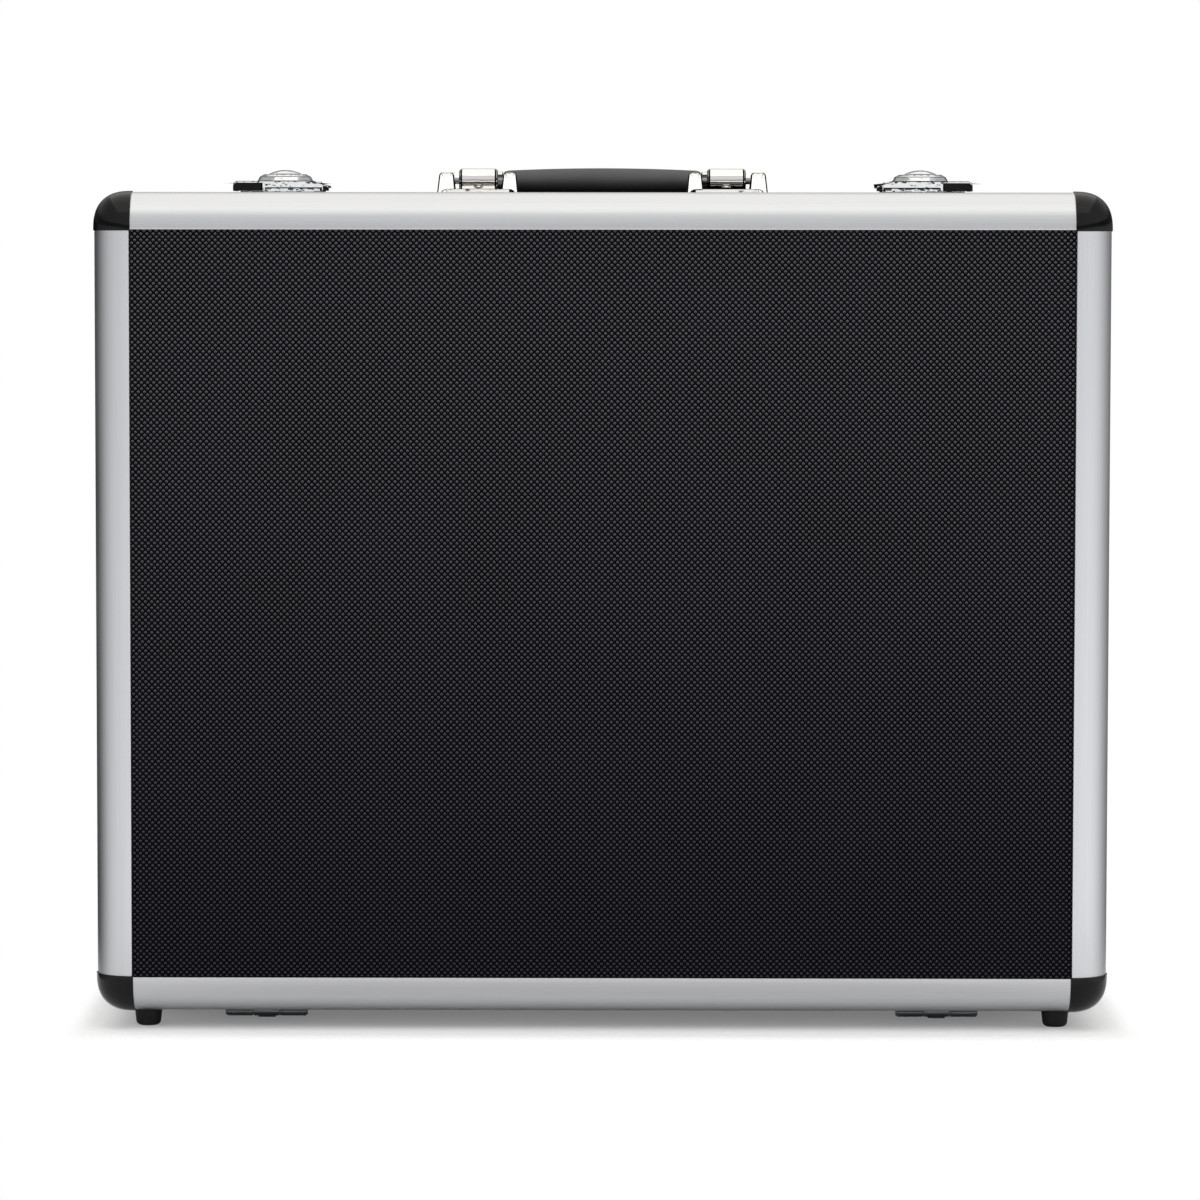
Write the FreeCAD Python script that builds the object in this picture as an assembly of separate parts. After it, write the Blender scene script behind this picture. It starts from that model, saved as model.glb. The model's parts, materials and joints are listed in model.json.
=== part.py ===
import FreeCAD, Part
import math
import os

# Flight case with a framed lid, a framed body, two latches, two hinges and a folding handle.
# Millimetres. +X runs along the case, -Y is the lid's face, +Z is up, and the feet stand on z = 0.

# Case
CASE_W = 462.0
CASE_H = 374.0
CASE_D = 160.0
LID_D = 37.0
PART_GAP = 0.4

# Edge extrusions and panels
EDGE_R = 17.0
PROFILE_T = 1.3
FLANGE_T = 1.2
LIP_PLAY = 0.1
SKIN_T = 1.5
SKIN_TUCK = 1.0
BOARD_T = 4.0
SLOT_PLAY = 0.1
BOARD_END_PLAY = 0.25
NOTCH_PLAY = 0.2

# Corner caps
CAP_PROUD = 0.5
CAP_WALL = 1.6
CAP_COLLAR_L = 1.4
CAP_PLAY = 0.05
CAP_END_GAP = 0.15

# Closing rims
RIM_W = 13.0
TONGUE_L = 2.6
TONGUE_SIDE_PLAY = 1.0
GROOVE_FLOOR_PLAY = 0.4
RIM_END_GAP = 0.1
MITRE_NICK = 0.01

# Rivets
RIVET_R = 1.6
RIVET_HEAD_R = 2.4
RIVET_CROWN_R = 1.3
RIVET_HEAD_H = 0.8
RIVET_TAIL_R = 2.1
RIVET_TAIL_H = 1.1
RIVET_PLAY = 0.05

# Hinges
HINGE_INSET = 76.2
LEAF_L = 42.0
LEAF_W = 11.5
LEAF_T = 1.2
LEAF_SETBACK = 1.0
LEAF_CORNER = 4.5
BARREL_L = 36.4
BARREL_R = 2.1
BARREL_TO_LEAF = 0.4
KNUCKLE_MID_L = 12.0
KNUCKLE_GAP = 0.3
HINGE_PIN_R = 1.0
HINGE_PIN_HEAD_R = 1.6
HINGE_PIN_HEAD_H = 0.7
PIN_PLAY = 0.04
LEAF_RIVET_X = 12.0
LEAF_RIVET_Y = 9.0
LID_STOP_DEG = 102.0
STOP_REACH = 1.0
STOP_T = 1.2
STOP_L = 8.0

# Latches
LATCH_INSET = 84.2
LEVER_L = 43.6
LEVER_FRONT = 9.0
LEVER_TOP = 5.1
LEVER_WALL = 1.0
LEVER_SLOPE_L = 8.0
LEVER_SLOPE_LOW = 2.9
LEVER_END_R = 2.0
SKIRT_LOW = 0.5
SKIRT_FROM_CATCH = 1.0
LATCH_PIN_BACK = 20.0
LATCH_PIN_R = 1.0
LATCH_BARREL_R = 1.8
LATCH_BARREL_L = 28.0
LATCH_CLEAR = 0.3
LEVER_CLEAR = 1.4
CHEEK_T = 3.0
CHEEK_R = 1.8
BASE_L = 38.0
BASE_T = 1.2
BASE_SETBACK = 1.0
BASE_LIP_T = 1.2
NOTCH_L = 12.0
NOTCH_IN = 1.3
NOTCH_TOP = 4.1
BOSS_SHIFT = 1.4
BOSS_R = 12.75
BOSS_TOP = 8.2
BOSS_BEVEL = 2.0
BOSS_CROWN = 2.2
BOSS_WALL = 1.05
PLUG_SHANK_R = 4.4
PLUG_HEAD_R = 7.5
PLUG_TOP = 10.2
PLUG_RISE = 0.15
KEY_SLOT_L = 6.0
KEY_SLOT_W = 0.9
KEY_SLOT_D = 1.2
CAM_LOW = 2.6
CAM_T = 1.2
CAM_REACH = 9.0
CAM_W = 5.0
CAM_HUB_ROUND = 2.4
CAM_TIP_ROUND = 1.0
KEEPER_W = 6.0
KEEPER_T = 1.2
KEEPER_BITE = 2.0
KEEPER_PLAY = 0.7
CATCH_T = 0.8
CATCH_H = 1.6
CATCH_IN = -18.0
CATCH_OUT = 6.0
CATCH_FRONT = 8.5
CATCH_BACK = 1.2
CATCH_RIB_L = 10.0
CATCH_RIB_T = 1.4
CATCH_RIB_Y = 5.3
CATCH_GAP = 0.4
HOOK_LIP_W = 1.5
LATCH_RIVET_X = 10.0
LATCH_RIVET_Y = 9.5
CATCH_RIVET_X = 9.0
CATCH_RIVET_Y = 4.6
SPRING_T = 0.4
SPRING_W = 6.0
SPRING_IN = 12.4
SPRING_FOOT = 5.5
SPRING_RUN = 7.0

# Handle
HANDLE_Y = 5.0
HANDLE_PIN_Z = 7.0
HANDLE_PIN_R = 1.5
HANDLE_BASE_T = 1.2
HANDLE_BASE_D = 22.0
HANDLE_LIP_H = 3.3
EAR_IN = 39.0
EAR_IN_W = 8.3
EAR_GAP = 1.4
ARM_BARREL_L = 18.1
ARM_BARREL_R = 5.7
ARM_BARREL_BEVEL = 1.0
EAR_OUT_W = 8.9
EAR_D = 17.0
EAR_TOP_R = 3.9
EAR_LEAN_DEG = 20.0
EAR_TAPER = 1.1
EAR_ROUND = 1.6
EAR_ARCH_W = 5.2
EAR_ARCH_H = 3.0
ARM_L = 36.0
ARM_T = 6.0
ARM_SIDE = 1.2
ARM_JOG_FROM = 11.0
ARM_JOG_TO = 18.0
ARM_EYE_R = 4.6
ARM_EYE_W = 8.0
ARM_OUTER_BEND_R = 6.0
ARM_INNER_BEND_R = 4.0
CORE_R = 2.5
CORE_PLAY = 0.05
GRIP_L = 93.0
GRIP_END_GAP = 0.3
GRIP_D = 21.0
GRIP_T = 10.2
GRIP_CROWN = 1.2
GRIP_END_TAPER = 1.0
GRIP_END_L = 3.0
GRIP_STEPS = 3
HANDLE_RIVET_Y = 7.2

# Feet
FOOT_H = 7.7
FOOT_TOP_R = 6.35
FOOT_LOW_R = 5.65
FOOT_BEVEL = 1.2
FOOT_PAST_EDGE_X = 5.8
FOOT_PAST_EDGE_Y = 5.0
SCREW_R = 1.5
SCREW_HEAD_R = 2.9
SCREW_HEAD_H = 1.8
SCREW_SINK = 2.2
SCREW_PLAY = 0.05

# Foam
FOAM_PLAY = 0.3
FOAM_SEAT = 0.1
LID_FOAM_T = 22.0
FOAM_BASE_T = 20.0
FOAM_WALL_T = 24.0
FOAM_DIVIDER_T = 18.0
FOAM_SETBACK = 2.0
RIGHT_POCKET_W = 118.5
UPPER_POCKET_H = 116.5

# Places that follow from the sizes above
V = FreeCAD.Vector
X_AXIS = V(1, 0, 0)
Y_AXIS = V(0, 1, 0)
Z_AXIS = V(0, 0, 1)
ORIGIN = V(0, 0, 0)
RIGHT = CASE_W / 2
FRONT = -CASE_D / 2
BACK = CASE_D / 2
BOTTOM = FOOT_H
TOP = FOOT_H + CASE_H
MID_Z = (BOTTOM + TOP) / 2
PART_Y = FRONT + LID_D
LID_EDGE = PART_Y - PART_GAP / 2
BODY_EDGE = PART_Y + PART_GAP / 2
SKIN_OUT = PROFILE_T + LIP_PLAY
BOARD_OUT = SKIN_OUT + SKIN_T
BOARD_IN = BOARD_OUT + BOARD_T
FLANGE_OUT = BOARD_IN + SLOT_PLAY
FLANGE_IN = FLANGE_OUT + FLANGE_T
INNER_R = EDGE_R - PROFILE_T
SKIN_END = EDGE_R - SKIN_TUCK
BOARD_END = EDGE_R - math.sqrt(INNER_R**2 - (EDGE_R - BOARD_OUT) ** 2) + BOARD_END_PLAY
CAP_REACH = EDGE_R + CAP_END_GAP
NOTCH_END = EDGE_R + NOTCH_PLAY
GROOVE_D = TONGUE_L + GROOVE_FLOOR_PLAY
HINGE_X = RIGHT - HINGE_INSET
HINGE_Z = BOTTOM - LEAF_T - BARREL_TO_LEAF - BARREL_R
LATCH_X = RIGHT - LATCH_INSET
LEVER_LOW = CATCH_H + CATCH_GAP
SKIRT_IN = CATCH_OUT + SKIRT_FROM_CATCH
LATCH_PIN_Z = BASE_T + LATCH_CLEAR + LATCH_BARREL_R
LEVER_REAR = LATCH_PIN_BACK - CHEEK_R - LEVER_CLEAR
BOSS_Y = (LEVER_REAR - LEVER_FRONT) / 2
KEEPER_TOP = CAM_LOW + CAM_T + LATCH_CLEAR + KEEPER_T
HANDLE_Z = TOP - SKIN_OUT
BARREL_IN = EAR_IN + EAR_IN_W + EAR_GAP
BARREL_OUT = BARREL_IN + ARM_BARREL_L
EAR_OUT = BARREL_OUT + EAR_GAP
EYE_IN = GRIP_L / 2 + GRIP_END_GAP
EYE_OUT = EYE_IN + ARM_EYE_W
FOOT_X = RIGHT - EDGE_R - FOOT_PAST_EDGE_X
FOOT_FROM_FACE = EDGE_R + FOOT_PAST_EDGE_Y


# Shapes


def span_box(x, y, z):
    """Box between the low and high value on each axis."""
    return Part.makeBox(x[1] - x[0], y[1] - y[0], z[1] - z[0], V(x[0], y[0], z[0]))


def rod(radius, start, end):
    """Round bar between two points."""
    run = end.sub(start)
    return Part.makeCylinder(radius, run.Length, start, run)


def in_space(axis, a, b, level):
    """Point of a flat outline that is square to the named axis."""
    return {"x": V(level, a, b), "y": V(a, level, b), "z": V(a, b, level)}[axis]


def outline_face(corners, axis, level):
    """Flat face with straight sides, where a corner with a third value is rounded by that radius."""
    runs = []
    count = len(corners)
    for i, corner in enumerate(corners):
        here = V(corner[0], corner[1], 0)
        before = V(corners[i - 1][0], corners[i - 1][1], 0).sub(here).normalize()
        after = V(corners[(i + 1) % count][0], corners[(i + 1) % count][1], 0).sub(here).normalize()
        radius = corner[2] if len(corner) > 2 else 0.0
        half = before.getAngle(after) / 2
        if radius == 0.0:
            runs.append((here,))
            continue
        cut = radius / math.tan(half)
        inward = before.add(after).normalize()
        top = here.add(inward.multiply(radius / math.sin(half) - radius))
        runs.append((here.add(before.multiply(cut)), top, here.add(after.multiply(cut))))
    edges = []
    for i, run in enumerate(runs):
        points = [in_space(axis, p.x, p.y, level) for p in run]
        ahead = runs[(i + 1) % count][0]
        target = in_space(axis, ahead.x, ahead.y, level)
        if len(points) == 3:
            edges.append(Part.Arc(points[0], points[1], points[2]).toShape())
        if points[-1].distanceToPoint(target) > 1e-6:
            edges.append(Part.LineSegment(points[-1], target).toShape())
    return Part.Face(Part.Wire(edges))


def prism(corners, axis, start, end):
    """Outline pushed along the named axis from start to end."""
    direction = {"x": X_AXIS, "y": Y_AXIS, "z": Z_AXIS}[axis]
    return outline_face(corners, axis, start).extrude(direction * (end - start))


def turned(corners, x, y):
    """Outline of radius and height, turned about an upright axis at x, y."""
    shape = outline_face(corners, "y", 0.0).revolve(ORIGIN, Z_AXIS, 360)
    return shape.translated(V(x, y, 0))


def dome(radius, low, high, x, y):
    """Cap of a ball that stands on a flat round base."""
    rise = high - low
    ball_r = (radius**2 + rise**2) / (2 * rise)
    ball = Part.makeSphere(ball_r, V(x, y, high - ball_r))
    return ball.common(Part.makeCylinder(radius, rise, V(x, y, low)))


def fuse_all(shapes):
    """One clean solid from shapes that meet."""
    return shapes[0].multiFuse(shapes[1:]).removeSplitter()


def mirror_x(shape):
    return shape.mirror(ORIGIN, X_AXIS)


def mirror_y(shape):
    return shape.mirror(ORIGIN, Y_AXIS)


def mirror_up(shape):
    return shape.mirror(V(0, 0, MID_Z), Z_AXIS)


def four_corners(shape):
    """A shape at the right-hand bottom corner, repeated at all four corners seen from the front."""
    pair = [shape, mirror_x(shape)]
    return pair + [mirror_up(s) for s in pair]


# Edge extrusions: a quarter-round shell, an inner flange and a web, with a slot for the board on each side


def edge_section():
    mid = EDGE_R - EDGE_R / math.sqrt(2)
    mid_in = EDGE_R - INNER_R / math.sqrt(2)
    shell = Part.Face(
        Part.Wire(
            [
                Part.Arc(V(0, EDGE_R, 0), V(0, mid, mid), V(0, 0, EDGE_R)).toShape(),
                Part.LineSegment(V(0, 0, EDGE_R), V(0, PROFILE_T, EDGE_R)).toShape(),
                Part.Arc(V(0, PROFILE_T, EDGE_R), V(0, mid_in, mid_in), V(0, EDGE_R, PROFILE_T)).toShape(),
                Part.LineSegment(V(0, EDGE_R, PROFILE_T), V(0, EDGE_R, 0)).toShape(),
            ]
        )
    )
    flange = outline_face(
        [
            (EDGE_R, FLANGE_OUT),
            (EDGE_R, FLANGE_IN),
            (FLANGE_IN, FLANGE_IN),
            (FLANGE_IN, EDGE_R),
            (FLANGE_OUT, EDGE_R),
            (FLANGE_OUT, FLANGE_OUT),
        ],
        "x",
        0.0,
    )
    web_out = (mid + mid_in) / 2
    web = outline_face(
        [(web_out, web_out), (FLANGE_IN, web_out), (FLANGE_IN, FLANGE_IN), (web_out, FLANGE_IN)], "x", 0.0
    )
    return fuse_all([shell, flange, web])


def edge_bar(length):
    """Extrusion along +X with its two outer planes at y = 0 and z = 0."""
    return fuse_all([face.extrude(X_AXIS * length) for face in edge_section().Faces])


def face_edges():
    """Four extrusions round the lid's face, between the corner caps."""
    across = CASE_W - 2 * CAP_REACH
    upright = CASE_H - 2 * CAP_REACH
    low = edge_bar(across).translated(V(-across / 2, FRONT, BOTTOM))
    side = edge_bar(upright).rotated(ORIGIN, Y_AXIS, -90).translated(V(RIGHT, FRONT, BOTTOM + CAP_REACH))
    return [low, mirror_up(low), side, mirror_x(side)]


def depth_edges(start, end):
    """Four extrusions along the depth, from the corner cap to the rim."""
    bar = edge_bar(end - start).rotated(ORIGIN, Z_AXIS, 90).translated(V(RIGHT, start, BOTTOM))
    return four_corners(bar)


def corner_cap():
    """Ball corner at the lid's right-hand bottom corner, with collars over the three extrusions."""
    centre = V(RIGHT - EDGE_R, FRONT + EDGE_R, BOTTOM + EDGE_R)
    outer_r = EDGE_R + CAP_PROUD
    bite = outer_r + CAP_COLLAR_L
    octant = span_box(
        (centre.x, centre.x + bite), (centre.y - bite, centre.y), (centre.z - bite, centre.z)
    )
    ball = Part.makeSphere(outer_r, centre).cut(Part.makeSphere(outer_r - CAP_WALL, centre))
    pieces = [ball.common(octant)]
    for run in (V(-1, 0, 0), V(0, 1, 0), V(0, 0, 1)):
        end = centre.add(run * CAP_COLLAR_L)
        sleeve = rod(outer_r, centre, end).cut(rod(EDGE_R + CAP_PLAY, centre, end))
        pieces.append(sleeve.common(octant.translated(run * CAP_COLLAR_L)))
    return fuse_all(pieces)


# Closing rims: rounded rings at the parting line, mitred into four lengths


def ring(inset_out, inset_in, start, end):
    """Rounded-rectangle ring between two insets from the case's outline."""

    def block(inset):
        half = RIGHT - inset
        low = BOTTOM + inset
        high = TOP - inset
        r = EDGE_R - inset
        corners = [(-half, low, r), (half, low, r), (half, high, r), (-half, high, r)]
        return prism(corners, "y", start, end)

    return block(inset_out).cut(block(inset_in))


def mitred(shape):
    """A ring cut at its corners into bottom, top, right and left lengths."""
    reach = min(CASE_W, CASE_H) / 2
    margin = EDGE_R
    depth = (FRONT, BACK)
    low = BOTTOM - margin
    out = RIGHT + margin
    inner = RIGHT - reach
    low_wedge = prism([(-out, low), (out, low), (inner, BOTTOM + reach), (-inner, BOTTOM + reach)], "y", *depth)
    high = TOP + margin
    right_wedge = prism(
        [(out, low), (out, high), (inner, TOP - reach), (inner - MITRE_NICK, MID_Z), (inner, BOTTOM + reach)],
        "y",
        *depth,
    )
    return [
        shape.common(low_wedge),
        shape.common(mirror_up(low_wedge)),
        shape.common(right_wedge),
        shape.common(mirror_x(right_wedge)),
    ]


def lid_rim():
    lip = LID_EDGE - RIM_W
    web_start = LID_EDGE - PROFILE_T
    return fuse_all(
        [
            ring(0.0, PROFILE_T, lip, LID_EDGE),
            ring(FLANGE_OUT, FLANGE_IN, lip, LID_EDGE),
            ring(0.0, FLANGE_IN, web_start, LID_EDGE),
            ring(
                PROFILE_T + TONGUE_SIDE_PLAY,
                FLANGE_OUT - TONGUE_SIDE_PLAY,
                web_start,
                LID_EDGE + TONGUE_L,
            ),
        ]
    )


def body_rim():
    lip = BODY_EDGE + RIM_W
    floor = BODY_EDGE + GROOVE_D
    return fuse_all(
        [
            ring(0.0, PROFILE_T, BODY_EDGE, lip),
            ring(FLANGE_OUT, FLANGE_IN, BODY_EDGE, lip),
            ring(0.0, FLANGE_IN, floor, floor + PROFILE_T),
        ]
    )


# Panels: board in the slots, laminate skin tucked under the lips


def face_panel(depth_from, depth_to, inset):
    """Flat sheet behind the lid's face plane."""
    return span_box(
        (-RIGHT + inset, RIGHT - inset),
        (FRONT + depth_from, FRONT + depth_to),
        (BOTTOM + inset, TOP - inset),
    )


def face_board():
    sheet = face_panel(BOARD_OUT, BOARD_IN, BOARD_END)
    notch = span_box(
        (RIGHT - NOTCH_END, RIGHT), (FRONT, FRONT + EDGE_R), (BOTTOM, BOTTOM + NOTCH_END)
    )
    return sheet.cut(Part.makeCompound(four_corners(notch)))


def side_sheets(out, inward, inset, start, end):
    """Bottom, top, right and left sheets of one half, between two depths."""
    low = span_box((-RIGHT + inset, RIGHT - inset), (start, end), (BOTTOM + out, BOTTOM + inward))
    side = span_box((RIGHT - inward, RIGHT - out), (start, end), (BOTTOM + inset, TOP - inset))
    return [low, mirror_up(low), side, mirror_x(side)]


def side_boards(start, end, face_y):
    """Side boards, notched where the corner caps sit against the face plane."""
    depth = (face_y - NOTCH_END, face_y + NOTCH_END)
    near = span_box((RIGHT - NOTCH_END, RIGHT), depth, (BOTTOM, BOTTOM + NOTCH_END))
    notches = Part.makeCompound(four_corners(near))
    return [sheet.cut(notches) for sheet in side_sheets(BOARD_OUT, BOARD_IN, BOARD_END, start, end)]


# Rivets and screws


def rivet(x, y, seat, clamp, up):
    """Rivet with a bevelled head on the seat plane and its tail past the clamped thickness."""
    head = Part.makeCone(RIVET_HEAD_R, RIVET_CROWN_R, RIVET_HEAD_H)
    shank = Part.makeCylinder(RIVET_R, clamp, V(0, 0, -clamp))
    tail = Part.makeCylinder(RIVET_TAIL_R, RIVET_TAIL_H, V(0, 0, -clamp - RIVET_TAIL_H))
    shape = fuse_all([head, shank, tail])
    if not up:
        shape = shape.rotated(ORIGIN, X_AXIS, 180)
    return shape.translated(V(x, y, seat))


def drill(x, y, radius, low, high):
    return Part.makeCylinder(radius, high - low, V(x, y, low))


def pierced(shapes, holes):
    """Each shape with the same set of holes cut through it."""
    cutter = Part.makeCompound(holes)
    return [shape.cut(cutter) for shape in shapes]


# Hinges


def leaf(side, knuckles):
    """Leaf on the rim's underside with rolled knuckles, at x = 0. side is -1 for the lid and 1 for the body."""
    near = LEAF_SETBACK * side
    far = (LEAF_SETBACK + LEAF_W) * side
    shoulder = far - LEAF_CORNER * side
    half = LEAF_L / 2
    plate = prism(
        [
            (-half, near),
            (half, near),
            (half, shoulder),
            (half - LEAF_CORNER, far),
            (-half + LEAF_CORNER, far),
            (-half, shoulder),
        ],
        "z",
        BOTTOM - LEAF_T,
        BOTTOM,
    )
    tangent = sorted((BARREL_R * side, (BARREL_R - LEAF_T) * side))
    pieces = [plate]
    for start, end in knuckles:
        pieces.append(span_box((start, end), tangent, (HINGE_Z, BOTTOM - LEAF_T / 2)))
        pieces.append(rod(BARREL_R, V(start, 0, HINGE_Z), V(end, 0, HINGE_Z)))
    shape = fuse_all(pieces)
    reach = V(BARREL_L, 0, 0)
    axis = V(0, 0, HINGE_Z)
    shape = shape.cut(rod(HINGE_PIN_R + PIN_PLAY, axis.sub(reach), axis.add(reach)))
    holes = [
        drill(x, LEAF_RIVET_Y * side, RIVET_R + RIVET_PLAY, BOTTOM - LEAF_T, BOTTOM)
        for x in (-LEAF_RIVET_X, LEAF_RIVET_X)
    ]
    return pierced([shape], holes)[0]


def stop_nose():
    """Nose on the lid's knuckle that meets the body's leaf when the lid is fully open."""
    tip = BARREL_R + STOP_REACH
    rise = BARREL_R + BARREL_TO_LEAF
    corner = math.degrees(math.atan2(STOP_T / 2, tip))
    meet = math.degrees(math.asin(rise / math.hypot(tip, STOP_T / 2))) - corner
    nose = span_box(
        (-STOP_L / 2, STOP_L / 2), (HINGE_PIN_R + LEAF_T / 2, tip), (-STOP_T / 2, STOP_T / 2)
    )
    return nose.rotated(ORIGIN, X_AXIS, meet - LID_STOP_DEG).translated(V(0, 0, HINGE_Z))


def hinge():
    """Body leaf, lid leaf and pin at x = 0, y = 0 on the parting plane."""
    half = BARREL_L / 2
    mid = KNUCKLE_MID_L / 2
    body_leaf = leaf(1, [(-half, -mid - KNUCKLE_GAP), (mid + KNUCKLE_GAP, half)])
    lid_leaf = leaf(-1, [(-mid, mid)]).fuse(stop_nose()).removeSplitter()
    shaft = rod(HINGE_PIN_R, V(-half, 0, HINGE_Z), V(half, 0, HINGE_Z))
    heads = [
        rod(HINGE_PIN_HEAD_R, V(end * half, 0, HINGE_Z), V(end * (half + HINGE_PIN_HEAD_H), 0, HINGE_Z))
        for end in (-1, 1)
    ]
    return body_leaf, lid_leaf, fuse_all([shaft] + heads)


# Latches: built at the right-hand side with x outward from the latch's middle, then mirrored


def at_latch(shape):
    return shape.translated(V(LATCH_X, PART_Y, TOP))


def latch_base():
    half = BASE_L / 2
    rear = LATCH_PIN_BACK + CHEEK_R + BASE_LIP_T
    plate = span_box((-half, half), (BASE_SETBACK, rear), (0, BASE_T))
    lip = span_box((-half, half), (rear - BASE_LIP_T, rear), (-SKIN_OUT, BASE_T))
    pieces = [plate, lip]
    inner = LATCH_BARREL_L / 2 + LATCH_CLEAR
    for start in (inner, -inner - CHEEK_T):
        low = V(start, LATCH_PIN_BACK, LATCH_PIN_Z)
        pieces.append(rod(CHEEK_R, low, low.add(X_AXIS * CHEEK_T)))
        foot = (LATCH_PIN_BACK - CHEEK_R, LATCH_PIN_BACK + CHEEK_R)
        pieces.append(span_box((start, start + CHEEK_T), foot, (0, LATCH_PIN_Z)))
    post = BOSS_Y + CAM_REACH + KEEPER_PLAY
    width = (-BOSS_SHIFT - KEEPER_W / 2, -BOSS_SHIFT + KEEPER_W / 2)
    pieces.append(span_box(width, (post, post + KEEPER_T), (0, KEEPER_TOP)))
    pieces.append(span_box(width, (post - KEEPER_BITE, post + KEEPER_T), (KEEPER_TOP - KEEPER_T, KEEPER_TOP)))
    shape = fuse_all(pieces)
    reach = V(BASE_L, 0, 0)
    axis = V(0, LATCH_PIN_BACK, LATCH_PIN_Z)
    shape = shape.cut(rod(LATCH_PIN_R + PIN_PLAY, axis.sub(reach), axis.add(reach)))
    holes = [
        drill(x, LATCH_RIVET_Y, RIVET_R + RIVET_PLAY, 0, BASE_T) for x in (-LATCH_RIVET_X, LATCH_RIVET_X)
    ]
    return pierced([shape], holes)[0]


def lever_block(shrink, low, front, rear):
    """Wedge-ended block of the lever, drawn in by the wall thickness for its hollow."""
    half = LEVER_L / 2 - shrink
    top = LEVER_TOP - shrink
    slope = LEVER_SLOPE_LOW - shrink
    corners = [
        (-half, low),
        (half, low),
        (half, top, LEVER_END_R - shrink),
        (-half + LEVER_SLOPE_L, top, LEVER_SLOPE_L / 2),
        (-half, slope),
    ]
    return prism(corners, "y", front, rear)


def latch_lever():
    front = -LEVER_FRONT
    shell = lever_block(0.0, LEVER_LOW, front, LEVER_REAR)
    skirt = span_box((SKIRT_IN, LEVER_L / 2), (front, LEVER_REAR), (SKIRT_LOW, LEVER_LOW + LEVER_WALL))
    boss = turned(
        [
            (0, LEVER_TOP - LEVER_WALL),
            (BOSS_R, LEVER_TOP - LEVER_WALL),
            (BOSS_R, BOSS_TOP - BOSS_BEVEL - BOSS_CROWN / 2),
            (BOSS_R - BOSS_BEVEL / 2, BOSS_TOP - BOSS_CROWN / 2),
            (BOSS_R - BOSS_BEVEL / 2 - BOSS_CROWN, BOSS_TOP),
            (0, BOSS_TOP),
        ],
        -BOSS_SHIFT,
        BOSS_Y,
    )
    half = LATCH_BARREL_L / 2
    start = V(-half, LATCH_PIN_BACK, LATCH_PIN_Z)
    barrel = rod(LATCH_BARREL_R, start, start.add(X_AXIS * LATCH_BARREL_L))
    neck_top = LATCH_PIN_Z + LATCH_BARREL_R
    neck = span_box((-half, half), (LEVER_REAR - LEVER_WALL, LATCH_PIN_BACK), (neck_top - LEVER_WALL, neck_top))
    hollow = lever_block(LEVER_WALL, 0.0, front + LEVER_WALL, LEVER_REAR)
    middle = V(-BOSS_SHIFT, BOSS_Y, 0)
    boss_hollow = fuse_all(
        [
            Part.makeCylinder(BOSS_R - BOSS_WALL, KEEPER_TOP + LATCH_CLEAR, middle),
            Part.makeCylinder(BOSS_R - BOSS_BEVEL / 2 - BOSS_CROWN, BOSS_TOP - BOSS_WALL, middle),
        ]
    )
    front_wall = span_box((-LEVER_L, LEVER_L), (front, front + LEVER_WALL), (0, LEVER_TOP))
    shell = fuse_all([shell, skirt, boss]).cut(hollow).cut(boss_hollow.cut(front_wall))
    rib_mid = (CATCH_IN + CATCH_OUT) / 2
    lip = span_box(
        (rib_mid - CATCH_RIB_L / 2, rib_mid + CATCH_RIB_L / 2),
        (front, front + LEVER_WALL + HOOK_LIP_W),
        (LEVER_LOW, LEVER_LOW + LEVER_WALL),
    )
    shape = fuse_all([shell, neck, barrel, lip])
    bore = rod(LATCH_PIN_R + PIN_PLAY, start, start.add(X_AXIS * LATCH_BARREL_L))
    outer = LEVER_L / 2 - NOTCH_IN
    notch = span_box((outer - NOTCH_L, outer), (front, front + LEVER_WALL), (0, NOTCH_TOP))
    shank_hole = drill(-BOSS_SHIFT, BOSS_Y, PLUG_SHANK_R + PIN_PLAY, 0, PLUG_TOP)
    return shape.cut(bore).cut(notch).cut(shank_hole)


def lock_plug():
    """Domed plug with a key slot, standing in the lever's boss."""
    head_low = BOSS_TOP + PLUG_RISE
    head = dome(PLUG_HEAD_R, head_low, PLUG_TOP, -BOSS_SHIFT, BOSS_Y)
    shank_low = CAM_LOW + CAM_T
    shank = Part.makeCylinder(PLUG_SHANK_R, head_low - shank_low, V(-BOSS_SHIFT, BOSS_Y, shank_low))
    slot = span_box(
        (-BOSS_SHIFT - KEY_SLOT_L / 2, -BOSS_SHIFT + KEY_SLOT_L / 2),
        (BOSS_Y - KEY_SLOT_W / 2, BOSS_Y + KEY_SLOT_W / 2),
        (PLUG_TOP - KEY_SLOT_D, PLUG_TOP),
    )
    return fuse_all([head, shank]).cut(slot)


def lock_cam():
    """Arm under the plug that swings below the base's keeper when it is locked."""
    half = CAM_W / 2
    return prism(
        [
            (-BOSS_SHIFT - half, BOSS_Y - half, CAM_HUB_ROUND),
            (-BOSS_SHIFT + CAM_REACH, BOSS_Y - half, CAM_TIP_ROUND),
            (-BOSS_SHIFT + CAM_REACH, BOSS_Y + half, CAM_TIP_ROUND),
            (-BOSS_SHIFT - half, BOSS_Y + half, CAM_HUB_ROUND),
        ],
        "z",
        CAM_LOW,
        CAM_LOW + CAM_T,
    )


def latch_pin():
    half = LATCH_BARREL_L / 2 + LATCH_CLEAR + CHEEK_T
    return rod(LATCH_PIN_R, V(-half, LATCH_PIN_BACK, LATCH_PIN_Z), V(half, LATCH_PIN_BACK, LATCH_PIN_Z))


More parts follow.
